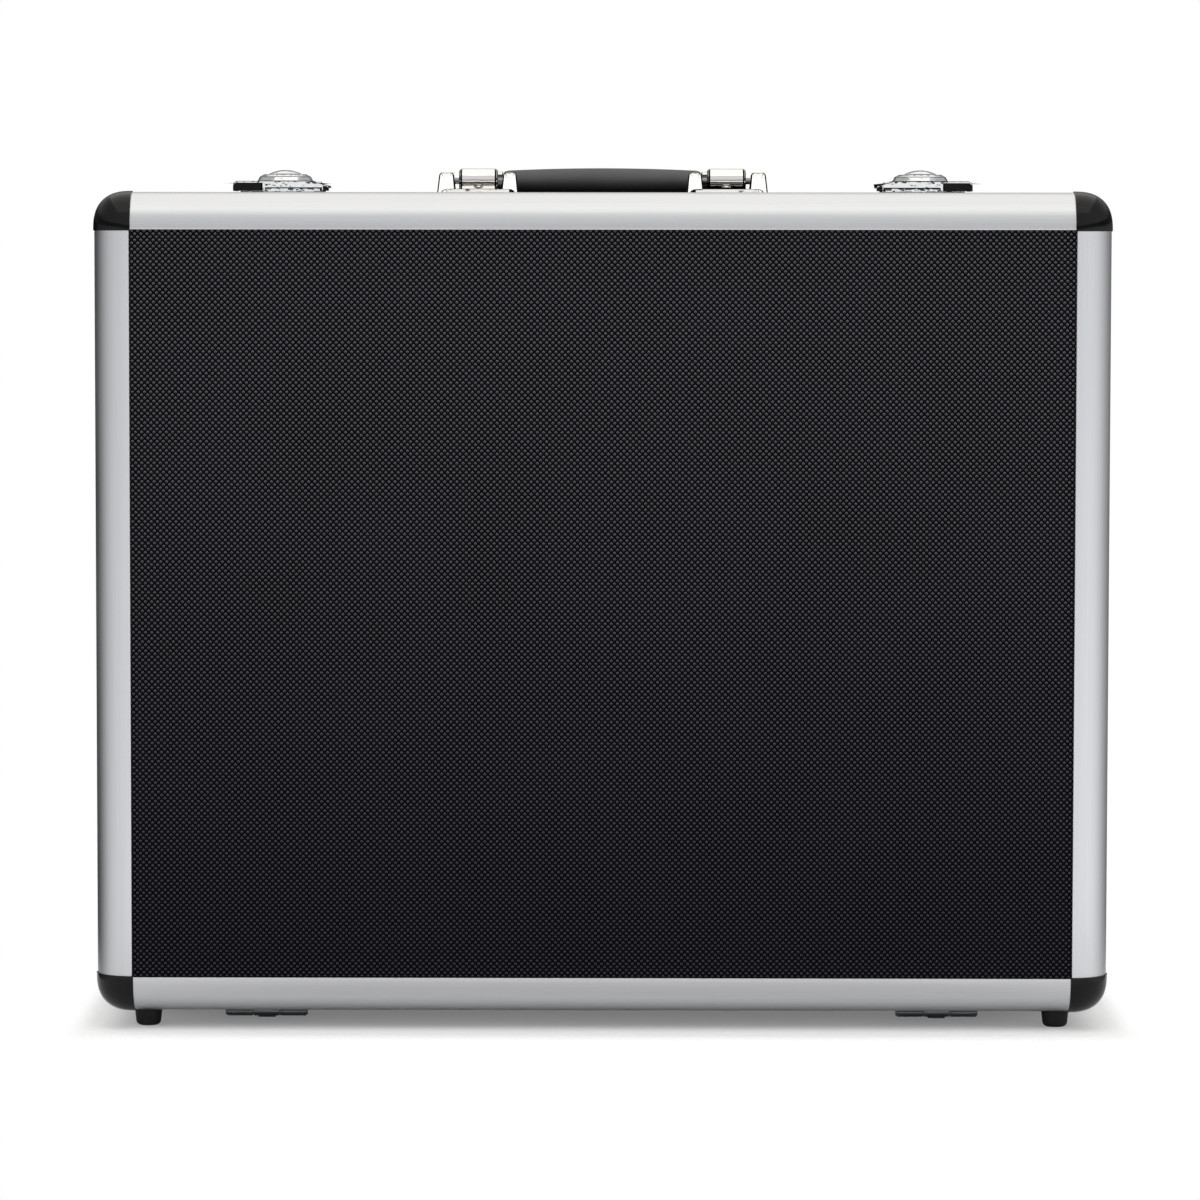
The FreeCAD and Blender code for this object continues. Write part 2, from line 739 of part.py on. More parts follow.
def latch_spring():
    """Leaf spring with its foot on the base and its free end under the lever."""
    rear = LATCH_PIN_BACK - CHEEK_R - 2 * LATCH_CLEAR
    bend = rear - SPRING_FOOT
    tip = bend - SPRING_RUN
    tip_z = LEVER_TOP - LEVER_WALL - LATCH_CLEAR
    corners = [
        (rear, BASE_T),
        (rear, BASE_T + SPRING_T),
        (bend, BASE_T + SPRING_T),
        (tip, tip_z),
        (tip, tip_z - SPRING_T),
        (bend, BASE_T),
    ]
    return prism(corners, "x", SPRING_IN, SPRING_IN + SPRING_W)


def latch_catch():
    mid = (CATCH_IN + CATCH_OUT) / 2
    plate = span_box((CATCH_IN, CATCH_OUT), (-CATCH_FRONT, -CATCH_BACK), (0, CATCH_T))
    hem = span_box((CATCH_IN, CATCH_OUT), (-CATCH_FRONT, -CATCH_FRONT + CATCH_T), (0, CATCH_H))
    rib = span_box(
        (mid - CATCH_RIB_L / 2, mid + CATCH_RIB_L / 2),
        (-CATCH_RIB_Y - CATCH_RIB_T / 2, -CATCH_RIB_Y + CATCH_RIB_T / 2),
        (0, CATCH_H),
    )
    holes = [
        drill(mid + x, -CATCH_RIVET_Y, RIVET_R + RIVET_PLAY, 0, CATCH_T)
        for x in (-CATCH_RIVET_X, CATCH_RIVET_X)
    ]
    return pierced([fuse_all([plate, hem, rib])], holes)[0]


# Handle: built at the right-hand side, then mirrored


def at_handle(shape):
    return shape.translated(V(0, HANDLE_Y, HANDLE_Z))


def ear(start, width):
    """Looped ear: a rounded hump from the side, tapered from the front, with an arch at its foot."""
    half = EAR_D / 2
    lean = math.radians(EAR_LEAN_DEG)
    flank = (EAR_TOP_R * math.cos(lean), HANDLE_PIN_Z + EAR_TOP_R * math.sin(lean))
    crest = HANDLE_PIN_Z + EAR_TOP_R
    points = [(-half, 0), (half, 0), flank, (0, crest), (-flank[0], flank[1])]
    p = [in_space("x", a, b, start) for a, b in points]
    side = Part.Face(
        Part.Wire(
            [
                Part.LineSegment(p[0], p[1]).toShape(),
                Part.LineSegment(p[1], p[2]).toShape(),
                Part.Arc(p[2], p[3], p[4]).toShape(),
                Part.LineSegment(p[4], p[0]).toShape(),
            ]
        )
    ).extrude(X_AXIS * width)
    front = prism(
        [
            (start, 0),
            (start + width, 0),
            (start + width - EAR_TAPER, crest, EAR_ROUND),
            (start + EAR_TAPER, crest, EAR_ROUND),
        ],
        "y",
        -EAR_D,
        EAR_D,
    )
    mid = start + width / 2
    arch_r = EAR_ARCH_W / 2
    spring_line = EAR_ARCH_H - arch_r
    arch = rod(arch_r, V(mid, -EAR_D, spring_line), V(mid, EAR_D, spring_line))
    return side.common(front).cut(arch)


def handle_base():
    half = HANDLE_BASE_D / 2
    end = EAR_OUT + EAR_OUT_W
    plate = span_box((EAR_IN, end), (-half, half), (0, HANDLE_BASE_T))
    ears = [ear(EAR_IN, EAR_IN_W), ear(EAR_OUT, EAR_OUT_W)]
    between = (EAR_IN + EAR_IN_W / 2, EAR_OUT + EAR_OUT_W / 2)
    lip = span_box(between, (-half, -half + HANDLE_BASE_T), (0, HANDLE_LIP_H))
    shape = fuse_all([plate, lip] + ears)
    bore = rod(HANDLE_PIN_R + PIN_PLAY, V(EAR_IN, 0, HANDLE_PIN_Z), V(end, 0, HANDLE_PIN_Z))
    return pierced([shape.cut(bore)], handle_holes(0.0, HANDLE_BASE_T))[0]


def handle_holes(low, high):
    mid = (BARREL_IN + BARREL_OUT) / 2
    return [drill(mid, y, RIVET_R + RIVET_PLAY, low, high) for y in (-HANDLE_RIVET_Y, HANDLE_RIVET_Y)]


def handle_pin():
    end = EAR_OUT + EAR_OUT_W - EAR_TAPER
    return rod(HANDLE_PIN_R, V(EAR_IN + EAR_TAPER, 0, HANDLE_PIN_Z), V(end, 0, HANDLE_PIN_Z))


def handle_arm():
    """Barrel on the pin, a flat arm that jogs inward, and an eye on the core rod."""
    barrel = rod(ARM_BARREL_R, V(BARREL_IN, 0, HANDLE_PIN_Z), V(BARREL_OUT, 0, HANDLE_PIN_Z))
    rims = [edge for edge in barrel.Edges if isinstance(edge.Curve, Part.Circle)]
    barrel = barrel.makeChamfer(ARM_BARREL_BEVEL, rims)
    eye = rod(ARM_EYE_R, V(EYE_IN, ARM_L, HANDLE_PIN_Z), V(EYE_OUT, ARM_L, HANDLE_PIN_Z))
    plan = [
        (BARREL_IN + ARM_SIDE, 0),
        (BARREL_OUT - ARM_SIDE, 0),
        (BARREL_OUT - ARM_SIDE, ARM_JOG_FROM, ARM_OUTER_BEND_R),
        (EYE_OUT, ARM_JOG_TO + ARM_EYE_W, ARM_OUTER_BEND_R),
        (EYE_OUT, ARM_L),
        (EYE_IN, ARM_L),
        (EYE_IN, ARM_JOG_TO, ARM_INNER_BEND_R),
        (BARREL_IN + ARM_SIDE, ARM_JOG_FROM, ARM_INNER_BEND_R),
    ]
    arm = prism(plan, "z", HANDLE_PIN_Z - ARM_T / 2, HANDLE_PIN_Z + ARM_T / 2)
    shape = fuse_all([barrel, arm, eye])
    bore = rod(HANDLE_PIN_R + PIN_PLAY, V(BARREL_IN, 0, HANDLE_PIN_Z), V(BARREL_OUT, 0, HANDLE_PIN_Z))
    return shape.cut(bore).cut(core_bar(CORE_R + CORE_PLAY))


def core_bar(radius):
    return rod(radius, V(-EYE_OUT, ARM_L, HANDLE_PIN_Z), V(EYE_OUT, ARM_L, HANDLE_PIN_Z))


def handle_grip():
    """Oval grip with a straight underside, a crowned top and drawn-in ends."""
    low = HANDLE_PIN_Z - GRIP_T / 2
    turn = FreeCAD.Rotation(Y_AXIS, Z_AXIS, X_AXIS, "XYZ")
    half = GRIP_L / 2
    full = half - GRIP_END_L
    stations = [(full * step / GRIP_STEPS, 0.0) for step in range(-GRIP_STEPS, GRIP_STEPS + 1)]
    stations = [(-half, GRIP_END_TAPER)] + stations + [(half, GRIP_END_TAPER)]
    sections = []
    for x, draw in stations:
        crown = GRIP_CROWN * (1 - (x / half) ** 2)
        height = GRIP_T + crown - 2 * draw
        depth = GRIP_D + crown - 2 * draw
        oval = Part.Ellipse(ORIGIN, depth / 2, height / 2).toShape()
        oval.Placement = FreeCAD.Placement(V(x, ARM_L, low + draw + height / 2), turn)
        sections.append(Part.Wire([oval]))
    body = Part.makeLoft(sections, True, True)
    return body.cut(core_bar(CORE_R + CORE_PLAY))


# Feet


def foot(x, y):
    sink_r = SCREW_HEAD_R + SCREW_PLAY
    sink_top = SCREW_SINK + SCREW_HEAD_H + SCREW_PLAY
    hole_r = SCREW_R + SCREW_PLAY
    return turned(
        [
            (sink_r, 0),
            (FOOT_LOW_R - FOOT_BEVEL, 0),
            (FOOT_LOW_R, FOOT_BEVEL),
            (FOOT_TOP_R, FOOT_H),
            (hole_r, FOOT_H),
            (hole_r, sink_top),
            (sink_r, sink_top),
        ],
        x,
        y,
    )


def foot_screw(x, y):
    head_top = SCREW_SINK + SCREW_HEAD_H
    head = Part.makeCylinder(SCREW_HEAD_R, SCREW_HEAD_H, V(x, y, SCREW_SINK))
    shank = Part.makeCylinder(SCREW_R, BOTTOM + BOARD_IN - head_top, V(x, y, head_top))
    return fuse_all([head, shank])


def foot_places(y):
    return [(side * FOOT_X, y) for side in (-1, 1)]


# Foam


def foam_slab(start, end):
    """Slab that follows the rim's rounded inner corners."""
    inset = FLANGE_IN + FOAM_PLAY
    r = EDGE_R - inset
    half = RIGHT - inset
    low = BOTTOM + inset
    high = TOP - inset
    return prism([(-half, low, r), (half, low, r), (half, high, r), (-half, high, r)], "y", start, end)


def foam_lining():
    """Base slab, wall strips and dividers of the body, which leave three pockets."""
    slab_back = BACK - FLANGE_IN - FOAM_SEAT
    slab_front = slab_back - FOAM_BASE_T
    depth = (BODY_EDGE + FOAM_SETBACK, slab_front - FOAM_PLAY)
    inset = FLANGE_IN + FOAM_PLAY
    out_x = RIGHT - inset
    in_x = out_x - FOAM_WALL_T
    low = BOTTOM + inset
    high = TOP - inset
    in_low = low + FOAM_WALL_T
    in_high = high - FOAM_WALL_T
    upright = (in_low + FOAM_PLAY, in_high - FOAM_PLAY)
    fit = foam_slab(*depth)
    walls = [
        span_box((-out_x, out_x), depth, (low, in_low)).common(fit),
        span_box((-out_x, out_x), depth, (in_high, high)).common(fit),
        span_box((in_x, out_x), depth, upright),
        span_box((-out_x, -in_x), depth, upright),
    ]
    post_x = in_x - RIGHT_POCKET_W - FOAM_DIVIDER_T
    post = (post_x, post_x + FOAM_DIVIDER_T)
    shelf_z = in_high - UPPER_POCKET_H - FOAM_DIVIDER_T
    shelf = (shelf_z, shelf_z + FOAM_DIVIDER_T)
    dividers = [
        span_box(post, depth, upright),
        span_box((-in_x + FOAM_PLAY, post_x - FOAM_PLAY), depth, shelf),
    ]
    return foam_slab(slab_front, slab_back), walls, dividers


# Assembly


def build():
    nodes = {}
    pair = {"right": 1, "left": -1}
    clamp = LEAF_T + PROFILE_T

    # Frame, caps and rims
    edges = face_edges()
    cap = corner_cap()
    caps = four_corners(cap)
    nodes["lid_edge_profiles"] = edges
    nodes["body_edge_profiles"] = [mirror_y(bar) for bar in edges]
    nodes["lid_corner_caps"] = caps
    nodes["body_corner_caps"] = [mirror_y(piece) for piece in caps]
    nodes["lid_corner_profiles"] = depth_edges(FRONT + CAP_REACH, LID_EDGE - RIM_W - RIM_END_GAP)
    nodes["body_corner_profiles"] = depth_edges(BODY_EDGE + RIM_W + RIM_END_GAP, BACK - CAP_REACH)

    # Feet
    lid_feet = foot_places(FRONT + FOOT_FROM_FACE)
    body_feet = foot_places(BACK - FOOT_FROM_FACE)
    nodes["lid_feet"] = [foot(x, y) for x, y in lid_feet]
    nodes["body_feet"] = [foot(x, y) for x, y in body_feet]
    nodes["lid_foot_screws"] = [foot_screw(x, y) for x, y in lid_feet]
    nodes["body_foot_screws"] = [foot_screw(x, y) for x, y in body_feet]
    screw_holes = [
        drill(x, y, SCREW_R + SCREW_PLAY, BOTTOM, BOTTOM + BOARD_IN) for x, y in lid_feet + body_feet
    ]

    # Hinges and their rivets
    body_leaf, lid_leaf, hinge_pin = hinge()
    rim_low = BOTTOM + PROFILE_T
    lid_holes = []
    body_holes = []
    lid_rivets = []
    body_rivets = []
    for name, side in pair.items():
        place = V(side * HINGE_X, PART_Y, 0)
        nodes["hinge_%s_body_leaf" % name] = [body_leaf.translated(place)]
        nodes["hinge_%s_lid_leaf" % name] = [lid_leaf.translated(place)]
        nodes["hinge_%s_pin" % name] = [hinge_pin.translated(place)]
        for x in (place.x - LEAF_RIVET_X, place.x + LEAF_RIVET_X):
            lid_y = PART_Y - LEAF_RIVET_Y
            body_y = PART_Y + LEAF_RIVET_Y
            lid_holes.append(drill(x, lid_y, RIVET_R + RIVET_PLAY, BOTTOM, rim_low))
            body_holes.append(drill(x, body_y, RIVET_R + RIVET_PLAY, BOTTOM, rim_low))
            lid_rivets.append(rivet(x, lid_y, BOTTOM - LEAF_T, clamp, False))
            body_rivets.append(rivet(x, body_y, BOTTOM - LEAF_T, clamp, False))

    # Latches and their rivets
    rim_high = TOP - PROFILE_T
    catch_mid = LATCH_X + (CATCH_IN + CATCH_OUT) / 2
    latch_nodes = {
        "base": latch_base(),
        "lever": latch_lever(),
        "plug": lock_plug(),
        "cam": lock_cam(),
        "pin": latch_pin(),
        "spring": latch_spring(),
        "catch": latch_catch(),
    }
    for name, side in pair.items():
        for piece, shape in latch_nodes.items():
            placed = at_latch(shape)
            nodes["latch_%s_%s" % (name, piece)] = [placed if side > 0 else mirror_x(placed)]
        for x in (-CATCH_RIVET_X, CATCH_RIVET_X):
            spot = (side * (catch_mid + x), PART_Y - CATCH_RIVET_Y)
            lid_holes.append(drill(*spot, RIVET_R + RIVET_PLAY, rim_high, TOP))
            lid_rivets.append(rivet(*spot, TOP + CATCH_T, CATCH_T + PROFILE_T, True))
        for x in (-LATCH_RIVET_X, LATCH_RIVET_X):
            spot = (side * (LATCH_X + x), PART_Y + LATCH_RIVET_Y)
            body_holes.append(drill(*spot, RIVET_R + RIVET_PLAY, rim_high, TOP))
            body_rivets.append(rivet(*spot, TOP + BASE_T, BASE_T + PROFILE_T, True))
    nodes["lid_rim"] = mitred(pierced([lid_rim()], lid_holes + screw_holes)[0])
    nodes["body_rim"] = mitred(pierced([body_rim()], body_holes + screw_holes)[0])
    nodes["lid_rivets"] = lid_rivets
    nodes["body_rivets"] = body_rivets

    # Handle
    handle_nodes = {"base": handle_base(), "pin": handle_pin(), "arm": handle_arm()}
    for name, side in pair.items():
        for piece, shape in handle_nodes.items():
            placed = at_handle(shape)
            nodes["handle_%s_%s" % (name, piece)] = [placed if side > 0 else mirror_x(placed)]
    nodes["handle_core"] = [at_handle(core_bar(CORE_R))]
    nodes["handle_grip"] = [at_handle(handle_grip())]
    grip_clamp = HANDLE_BASE_T + SKIN_T + BOARD_T
    mid = (BARREL_IN + BARREL_OUT) / 2
    nodes["handle_rivets"] = [
        rivet(side * mid, HANDLE_Y + y, HANDLE_Z + HANDLE_BASE_T, grip_clamp, True)
        for side in pair.values()
        for y in (-HANDLE_RIVET_Y, HANDLE_RIVET_Y)
    ]
    top_holes = [
        drill(side * mid, HANDLE_Y + y, RIVET_R + RIVET_PLAY, TOP - BOARD_IN, TOP)
        for side in pair.values()
        for y in (-HANDLE_RIVET_Y, HANDLE_RIVET_Y)
    ]

    # Panels
    wall_holes = top_holes + screw_holes
    board = face_board()
    skin = face_panel(SKIN_OUT, BOARD_OUT, SKIN_END)
    nodes["lid_face_board"] = [board]
    nodes["back_board"] = [mirror_y(board)]
    nodes["lid_face_skin"] = [skin]
    nodes["back_skin"] = [mirror_y(skin)]
    lid_boards = side_boards(FRONT + BOARD_END, LID_EDGE - PROFILE_T - BOARD_END_PLAY, FRONT)
    body_boards = side_boards(
        BODY_EDGE + GROOVE_D + PROFILE_T + BOARD_END_PLAY, BACK - BOARD_END, BACK
    )
    nodes["lid_side_boards"] = pierced(lid_boards, wall_holes)
    nodes["body_side_boards"] = pierced(body_boards, wall_holes)
    lid_lip = LID_EDGE - RIM_W + SKIN_TUCK
    body_lip = BODY_EDGE + RIM_W - SKIN_TUCK
    lid_skins = side_sheets(SKIN_OUT, BOARD_OUT, SKIN_END, FRONT + SKIN_END, lid_lip)
    body_skins = side_sheets(SKIN_OUT, BOARD_OUT, SKIN_END, body_lip, BACK - SKIN_END)
    nodes["lid_side_skins"] = pierced(lid_skins, wall_holes)
    nodes["body_side_skins"] = pierced(body_skins, wall_holes)

    # Foam
    lid_foam_start = FRONT + FLANGE_IN + FOAM_SEAT
    nodes["lid_foam"] = [foam_slab(lid_foam_start, lid_foam_start + LID_FOAM_T)]
    base, walls, dividers = foam_lining()
    nodes["foam_base"] = [base]
    nodes["foam_walls"] = walls
    nodes["foam_dividers"] = dividers
    return nodes


os.makedirs("parts", exist_ok=True)
for node, solids in build().items():
    shape = solids[0] if len(solids) == 1 else Part.makeCompound(solids)
    shape.exportStep("parts/%s.step" % node)
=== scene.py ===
"""Flight case: the looks of its panels, frame, caps, latches, handle, hinges, feet and foam."""

import itertools
import json
import math

import bmesh
import bpy
from bpy.props import FloatProperty, FloatVectorProperty, IntProperty, PointerProperty
from mathutils import Matrix, Vector


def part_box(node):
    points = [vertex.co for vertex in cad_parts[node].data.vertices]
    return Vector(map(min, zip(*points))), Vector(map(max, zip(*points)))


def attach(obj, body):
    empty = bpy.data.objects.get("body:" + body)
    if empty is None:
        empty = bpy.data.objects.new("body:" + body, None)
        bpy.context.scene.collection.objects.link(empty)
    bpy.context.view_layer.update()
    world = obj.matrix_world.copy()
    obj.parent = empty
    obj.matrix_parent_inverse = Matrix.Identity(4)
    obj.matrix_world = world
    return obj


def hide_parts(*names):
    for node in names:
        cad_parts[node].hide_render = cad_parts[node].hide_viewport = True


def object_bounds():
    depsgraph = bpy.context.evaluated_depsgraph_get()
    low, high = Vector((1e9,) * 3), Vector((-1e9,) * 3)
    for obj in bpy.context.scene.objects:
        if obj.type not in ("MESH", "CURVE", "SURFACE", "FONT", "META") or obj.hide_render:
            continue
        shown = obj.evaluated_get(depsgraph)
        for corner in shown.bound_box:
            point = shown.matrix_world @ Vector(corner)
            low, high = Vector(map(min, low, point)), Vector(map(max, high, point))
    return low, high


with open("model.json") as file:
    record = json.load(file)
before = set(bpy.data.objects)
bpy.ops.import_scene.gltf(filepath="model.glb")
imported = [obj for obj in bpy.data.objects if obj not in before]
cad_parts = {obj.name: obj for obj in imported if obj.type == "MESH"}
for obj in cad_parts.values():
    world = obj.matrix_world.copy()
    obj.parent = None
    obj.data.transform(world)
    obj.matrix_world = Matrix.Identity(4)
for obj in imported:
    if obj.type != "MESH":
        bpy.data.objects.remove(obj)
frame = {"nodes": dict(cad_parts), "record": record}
CAD_BOX = [list(corner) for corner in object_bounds()]
CAD_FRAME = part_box("body_rim")
CAD_FRAME_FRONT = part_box("lid_edge_profiles")[0].y

bl_info = {
    "name": "Flight case looks",
    "version": (1, 0, 0),
    "blender": (4, 5, 0),
    "location": "View3D > Sidebar > Flight case",
    "description": "Dresses the flight case with embossed panels, satin frame, chrome hardware and foam",
    "category": "Object",
}

MM = 0.001
PICTURE_PIXELS = 1200.0
SENSOR_MM = 36.0
SIDES = ("left", "right")

# Limits of what counts as the same point, a flat joint, a sharp edge or a cap's rim
MERGE_DISTANCE = 0.002 * MM
ON_PLANE = 0.01 * MM
FLAT_ANGLE = math.radians(0.5)
SHARP_ANGLE = math.radians(28)
RIM_ANGLE = math.radians(60)

# Fineness of the built shapes
BALL_SUBDIVISIONS = 5
GRIP_STEPS = 40
GRIP_ROLL_SHARE = 0.06
WAVE_GRID = (110, 90)
PAD_CORNER = 9.0 * MM
PAD_CORNER_CUTS = [math.radians(degrees) for degrees in (22.5, 45.0, 67.5)]

# One pad of the emboss: its flank and its dish by distance from its middle, the gloss taken out of its grooves and
# dish as painted shade, its painted highlight on the upper side by place across it, and the height over which the
# case's panels go from dull to glossy, painted light that makes their tops brighter
PAD_FLANK = (0.26, 0.84)
PAD_DISH = (0.0, 0.16)
PAD_DISH_DEPTH = 0.3
PAD_DISH_PAINTED_SHADE = 2.6
PAD_PAINTED_HIGHLIGHT = (0.7, 1.35)
PAD_PAINTED_HIGHLIGHT_GLOSS = (0.5, 2.1)
PAINTED_TOP_LIGHT_HEIGHT = (0.0, 0.36)
PAINTED_TOP_LIGHT_GLOSS = (0.47, 1.03)

# Parts of the room that metal mirrors, as components of the way to them: from front to back, from the walls to the
# ceiling, from low to high on the walls, and the middle and half height of the dark gap
MIRROR_DEPTH = (-0.65, 0.95)
MIRROR_TOP = (0.1, 0.45)
MIRROR_LEVEL = (-0.15, 0.3)
MIRROR_GAP = (0.13, 0.07)


# Colours and sizes that a user would change


def linear(hex_code):
    """Linear colour with full alpha from an sRGB hex code."""
    parts = [int(hex_code[i : i + 2], 16) / 255 for i in (0, 2, 4)]
    curve = [c / 12.92 if c <= 0.04045 else ((c + 0.055) / 1.055) ** 2.4 for c in parts]
    return (*curve, 1.0)


def shade(label, hex_code):
    """Colour property with its default from an sRGB hex code."""
    return FloatVectorProperty(
        name=label, description=label + " of the finish", subtype="COLOR", size=4, min=0.0, max=1.0,
        default=linear(hex_code),
    )


def length(label, about, millimetres):
    """Length property with its default in millimetres."""
    return FloatProperty(name=label, description=about, unit="LENGTH", precision=5, default=millimetres * MM)


class PanelSettings(bpy.types.PropertyGroup):
    """Emboss and colour of the laminate"""

    cell: length("Emboss cell", "Side of one raised diamond of the laminate", 1.98)
    relief: length("Emboss relief", "Height of a diamond above its grooves", 0.3)
    sheet: length("Sheet thickness", "Thickness of the laminate behind the grooves", 0.9)
    laminate: shade("Laminate", "0d0b12")


class FrameSettings(bpy.types.PropertyGroup):
    """Edges and colours of the extrusions and caps"""

    edge_round: length("Edge round", "Rounding of the extrusions' cut and lip edges", 0.35)
    cap_wall: length("Cap wall", "Wall thickness of the corner caps", 1.6)
    cap_collar: length("Cap collar", "Straight part of the corner caps beyond their ball", 0.5)
    cap_round: length("Cap edge round", "Rounding of the corner caps' rims", 0.3)
    cap_fullness: FloatProperty(
        name="Cap fullness", description="Power of the caps' outline from the front: 2 is round, more is squarer",
        default=2.5, min=2.0,
    )
    aluminium: shade("Anodised aluminium", "d2d3d6")
    cap: shade("Cap plastic", "0c0c0e")


class HardwareSettings(bpy.types.PropertyGroup):
    """Edges and colours of latches, handle, hinges and feet"""

    press_round: length("Pressing round", "Rounding of edges on pressed metal", 0.22)
    base_plate: length("Base plate", "Thickness of the plate under the handle's ears", 1.2)
    ear_round: length("Ear round", "Rounding of the edges of the handle's ears", 0.65)
    arm_round: length("Arm round", "Rounding of the edges of the handle's arms", 0.5)
    foot_round: length("Foot round", "Rounding of the edges of the feet", 0.6)
    hem: length("Catch hem", "Thickness of the hem along the catch's front", 1.0)
    hem_lift: length("Hem lift", "How far the hem stands up towards the lever", 0.32)
    # The two black blocks below are painted shade in the levers' hollow ends
    shade_block_size: FloatVectorProperty(
        name="Outer shade block", description="Size of the black block at the lever's outer end", unit="LENGTH",
        precision=5, default=(12.9 * MM, 3.0 * MM, 3.5 * MM),
    )
    tip_size: FloatVectorProperty(
        name="Inner shade block", description="Size of the black block at the lever's inner end", unit="LENGTH",
        precision=5, default=(2.7 * MM, 3.0 * MM, 2.3 * MM),
    )
    shade_block_proud: length("Shade block proud", "How far the black blocks stand before the lever", 0.05)
    shade_block_lift: length("Shade block lift", "Height of the black blocks above the skirt's edge", 0.1)
    shade_block_corner: length("Shade block corner", "Rounding of the black blocks' outer corner", 1.5)
    grip_sides: IntProperty(name="Grip sides", description="Sides of the grip's oval", default=64, min=16)
    grip_crown: length("Grip crown", "How much thinner the grip is at its ends than at its middle", 1.2)
    grip_roll: length("Grip roll", "Rounding of the grip's ends", 1.0)
    chrome: shade("Latch chrome", "d9dadc")
    bright: shade("Handle chrome", "e9e7e4")
    # Near-black colour painted on the chrome's rounded edges as a dark reflection
    edge: shade("Painted dark edge reflection", "1e1e20")
    zinc: shade("Zinc plate", "8f9195")
    grip: shade("Grip plastic", "4f4e50")
    # Colour of the black blocks of painted shade in the levers' ends
    insert: shade("Latch painted shade", "161517")
    rubber: shade("Foot rubber", "0b0b0c")


class LiningSettings(bpy.types.PropertyGroup):
    """Shape and colours of the foam and boards"""

    wave: length("Wave pitch", "Distance between the peaks of the lid's foam", 36.0)
    wave_depth: length("Wave depth", "Height of the peaks of the lid's foam", 9.0)
    soft_edge: length("Soft edge", "Rounding of the cut foam's edges", 2.0)
    foam: shade("Foam", "242427")
    board: shade("Fibreboard", "8a6c49")


class StageSettings(bpy.types.PropertyGroup):
    """Camera, room, light and floor"""

    distance: length("Camera distance", "From the lid's face to the lens", 2450.0)
    side: length("Camera side", "Lens to the right of the case's middle", -4.2)
    height: length("Camera height", "Lens above the floor", 367.6)
    pitch: FloatProperty(name="Pitch", description="Tilt of the view above level", subtype="ANGLE",
                         default=math.radians(-3.976))
    turn: FloatProperty(name="Turn", description="Turn of the view to the right", subtype="ANGLE",
                        default=math.radians(-0.449))
    roll: FloatProperty(name="Roll", description="Roll of the view", subtype="ANGLE", default=math.radians(0.047))
    focal_pixels: FloatProperty(name="Focal length", description="Focal length in pixels of the picture",
                                default=5419.4)
    shift_pixels: FloatProperty(name="Shift", description="Sideways shift of the picture in its pixels",
                                default=49.5)
    room_front: FloatProperty(name="Room front", description="Light on matt surfaces from before the case",
                              default=1.2)
    room_back: FloatProperty(name="Room back", description="Light on matt surfaces from behind the case",
                             default=0.6)
    front_tone: FloatProperty(name="Front tone", description="Brightness that metal mirrors before the case",
                              default=1.05)
    low_share: FloatProperty(name="Low share", description="Share of that brightness below the case", default=1.15)
    high_share: FloatProperty(name="High share", description="Share of that brightness above the case",
                              default=0.75)
    back_tone: FloatProperty(name="Back tone", description="Brightness that metal mirrors behind the case",
                             default=0.03)
    top_tone: FloatProperty(name="Top tone", description="Brightness that metal mirrors above the case",
                            default=0.55)
    side_lean: FloatProperty(name="Side lean", default=0.17,
                             description="How much brighter the right of the room is than its middle")
    gap_tone: FloatProperty(name="Gap tone", description="Brightness of the gap between floor and front light",
                            default=0.06)
    top_watts: FloatProperty(name="Overhead light", description="Power of the softbox overhead", default=19.0)
    top_tint: shade("Overhead tint", "fffbf1")
    top_size: FloatVectorProperty(name="Overhead size", description="Width and depth of the softbox overhead",
                                  unit="LENGTH", size=2, default=(2.4, 3.4))
    top_place: FloatVectorProperty(name="Overhead place", description="Middle of the softbox overhead",
                                   unit="LENGTH", default=(0.0, 0.5, 1.9))
    floor_tone: shade("Floor", "f7f7f7")
    floor_bounce: shade("Floor bounce", "e8e8e8")
    floor_lift: FloatProperty(name="Floor lift", description="How clear the floor is under the case", default=0.18)
    floor_fade: length("Floor fade", "Distance from the case at which the floor is clear", 28.0)
    floor_reach: length("Floor reach", "How far the floor goes beyond the case", 110.0)


class FlightCaseSettings(bpy.types.PropertyGroup):
    """All settings of the flight case"""

    panels: PointerProperty(type=PanelSettings)
    frame: PointerProperty(type=FrameSettings)
    hardware: PointerProperty(type=HardwareSettings)
    lining: PointerProperty(type=LiningSettings)
    stage: PointerProperty(type=StageSettings)


# Shading


def add_node(tree, kind, inputs=None, **settings):
    """Adds a node with its settings, and fills or links its inputs."""
    item = tree.nodes.new(kind)
    for key, value in settings.items():
        setattr(item, key, value)
    for socket, value in (inputs or {}).items():
        if isinstance(value, bpy.types.NodeSocket):
            tree.links.new(value, item.inputs[socket])
        else:
            item.inputs[socket].default_value = value
    return item


def number(tree, operation, *values):
    """Result of one operation on numbers."""
    return add_node(tree, "ShaderNodeMath", dict(enumerate(values)), operation=operation).outputs[0]


def vector(tree, operation, *values, output="Vector"):
    """Result of one operation on vectors."""
    return add_node(tree, "ShaderNodeVectorMath", dict(enumerate(values)), operation=operation).outputs[output]


def ramp(tree, source, span, values, easing="SMOOTHSTEP"):
    """Number that goes from one value to another while its source crosses a span."""
    inputs = {"Value": source, "From Min": span[0], "From Max": span[1], "To Min": values[0], "To Max": values[1]}
    return add_node(tree, "ShaderNodeMapRange", inputs, interpolation_type=easing).outputs[0]


def mixed_number(tree, share, first, second):
    """Number between two numbers."""
    return add_node(tree, "ShaderNodeMix", {0: share, 2: first, 3: second}, data_type="FLOAT").outputs[0]


def mixed_colour(tree, share, first, second):
    """Colour between two colours."""
    return add_node(tree, "ShaderNodeMix", {0: share, 6: first, 7: second}, data_type="RGBA").outputs[2]


def noise(tree, place, millimetres, detail):
    """Noise from 0 to 1 with features of a real size."""
    inputs = {"Vector": place, "Scale": per_metre(millimetres), "Detail": detail}
    return add_node(tree, "ShaderNodeTexNoise", inputs).outputs[0]


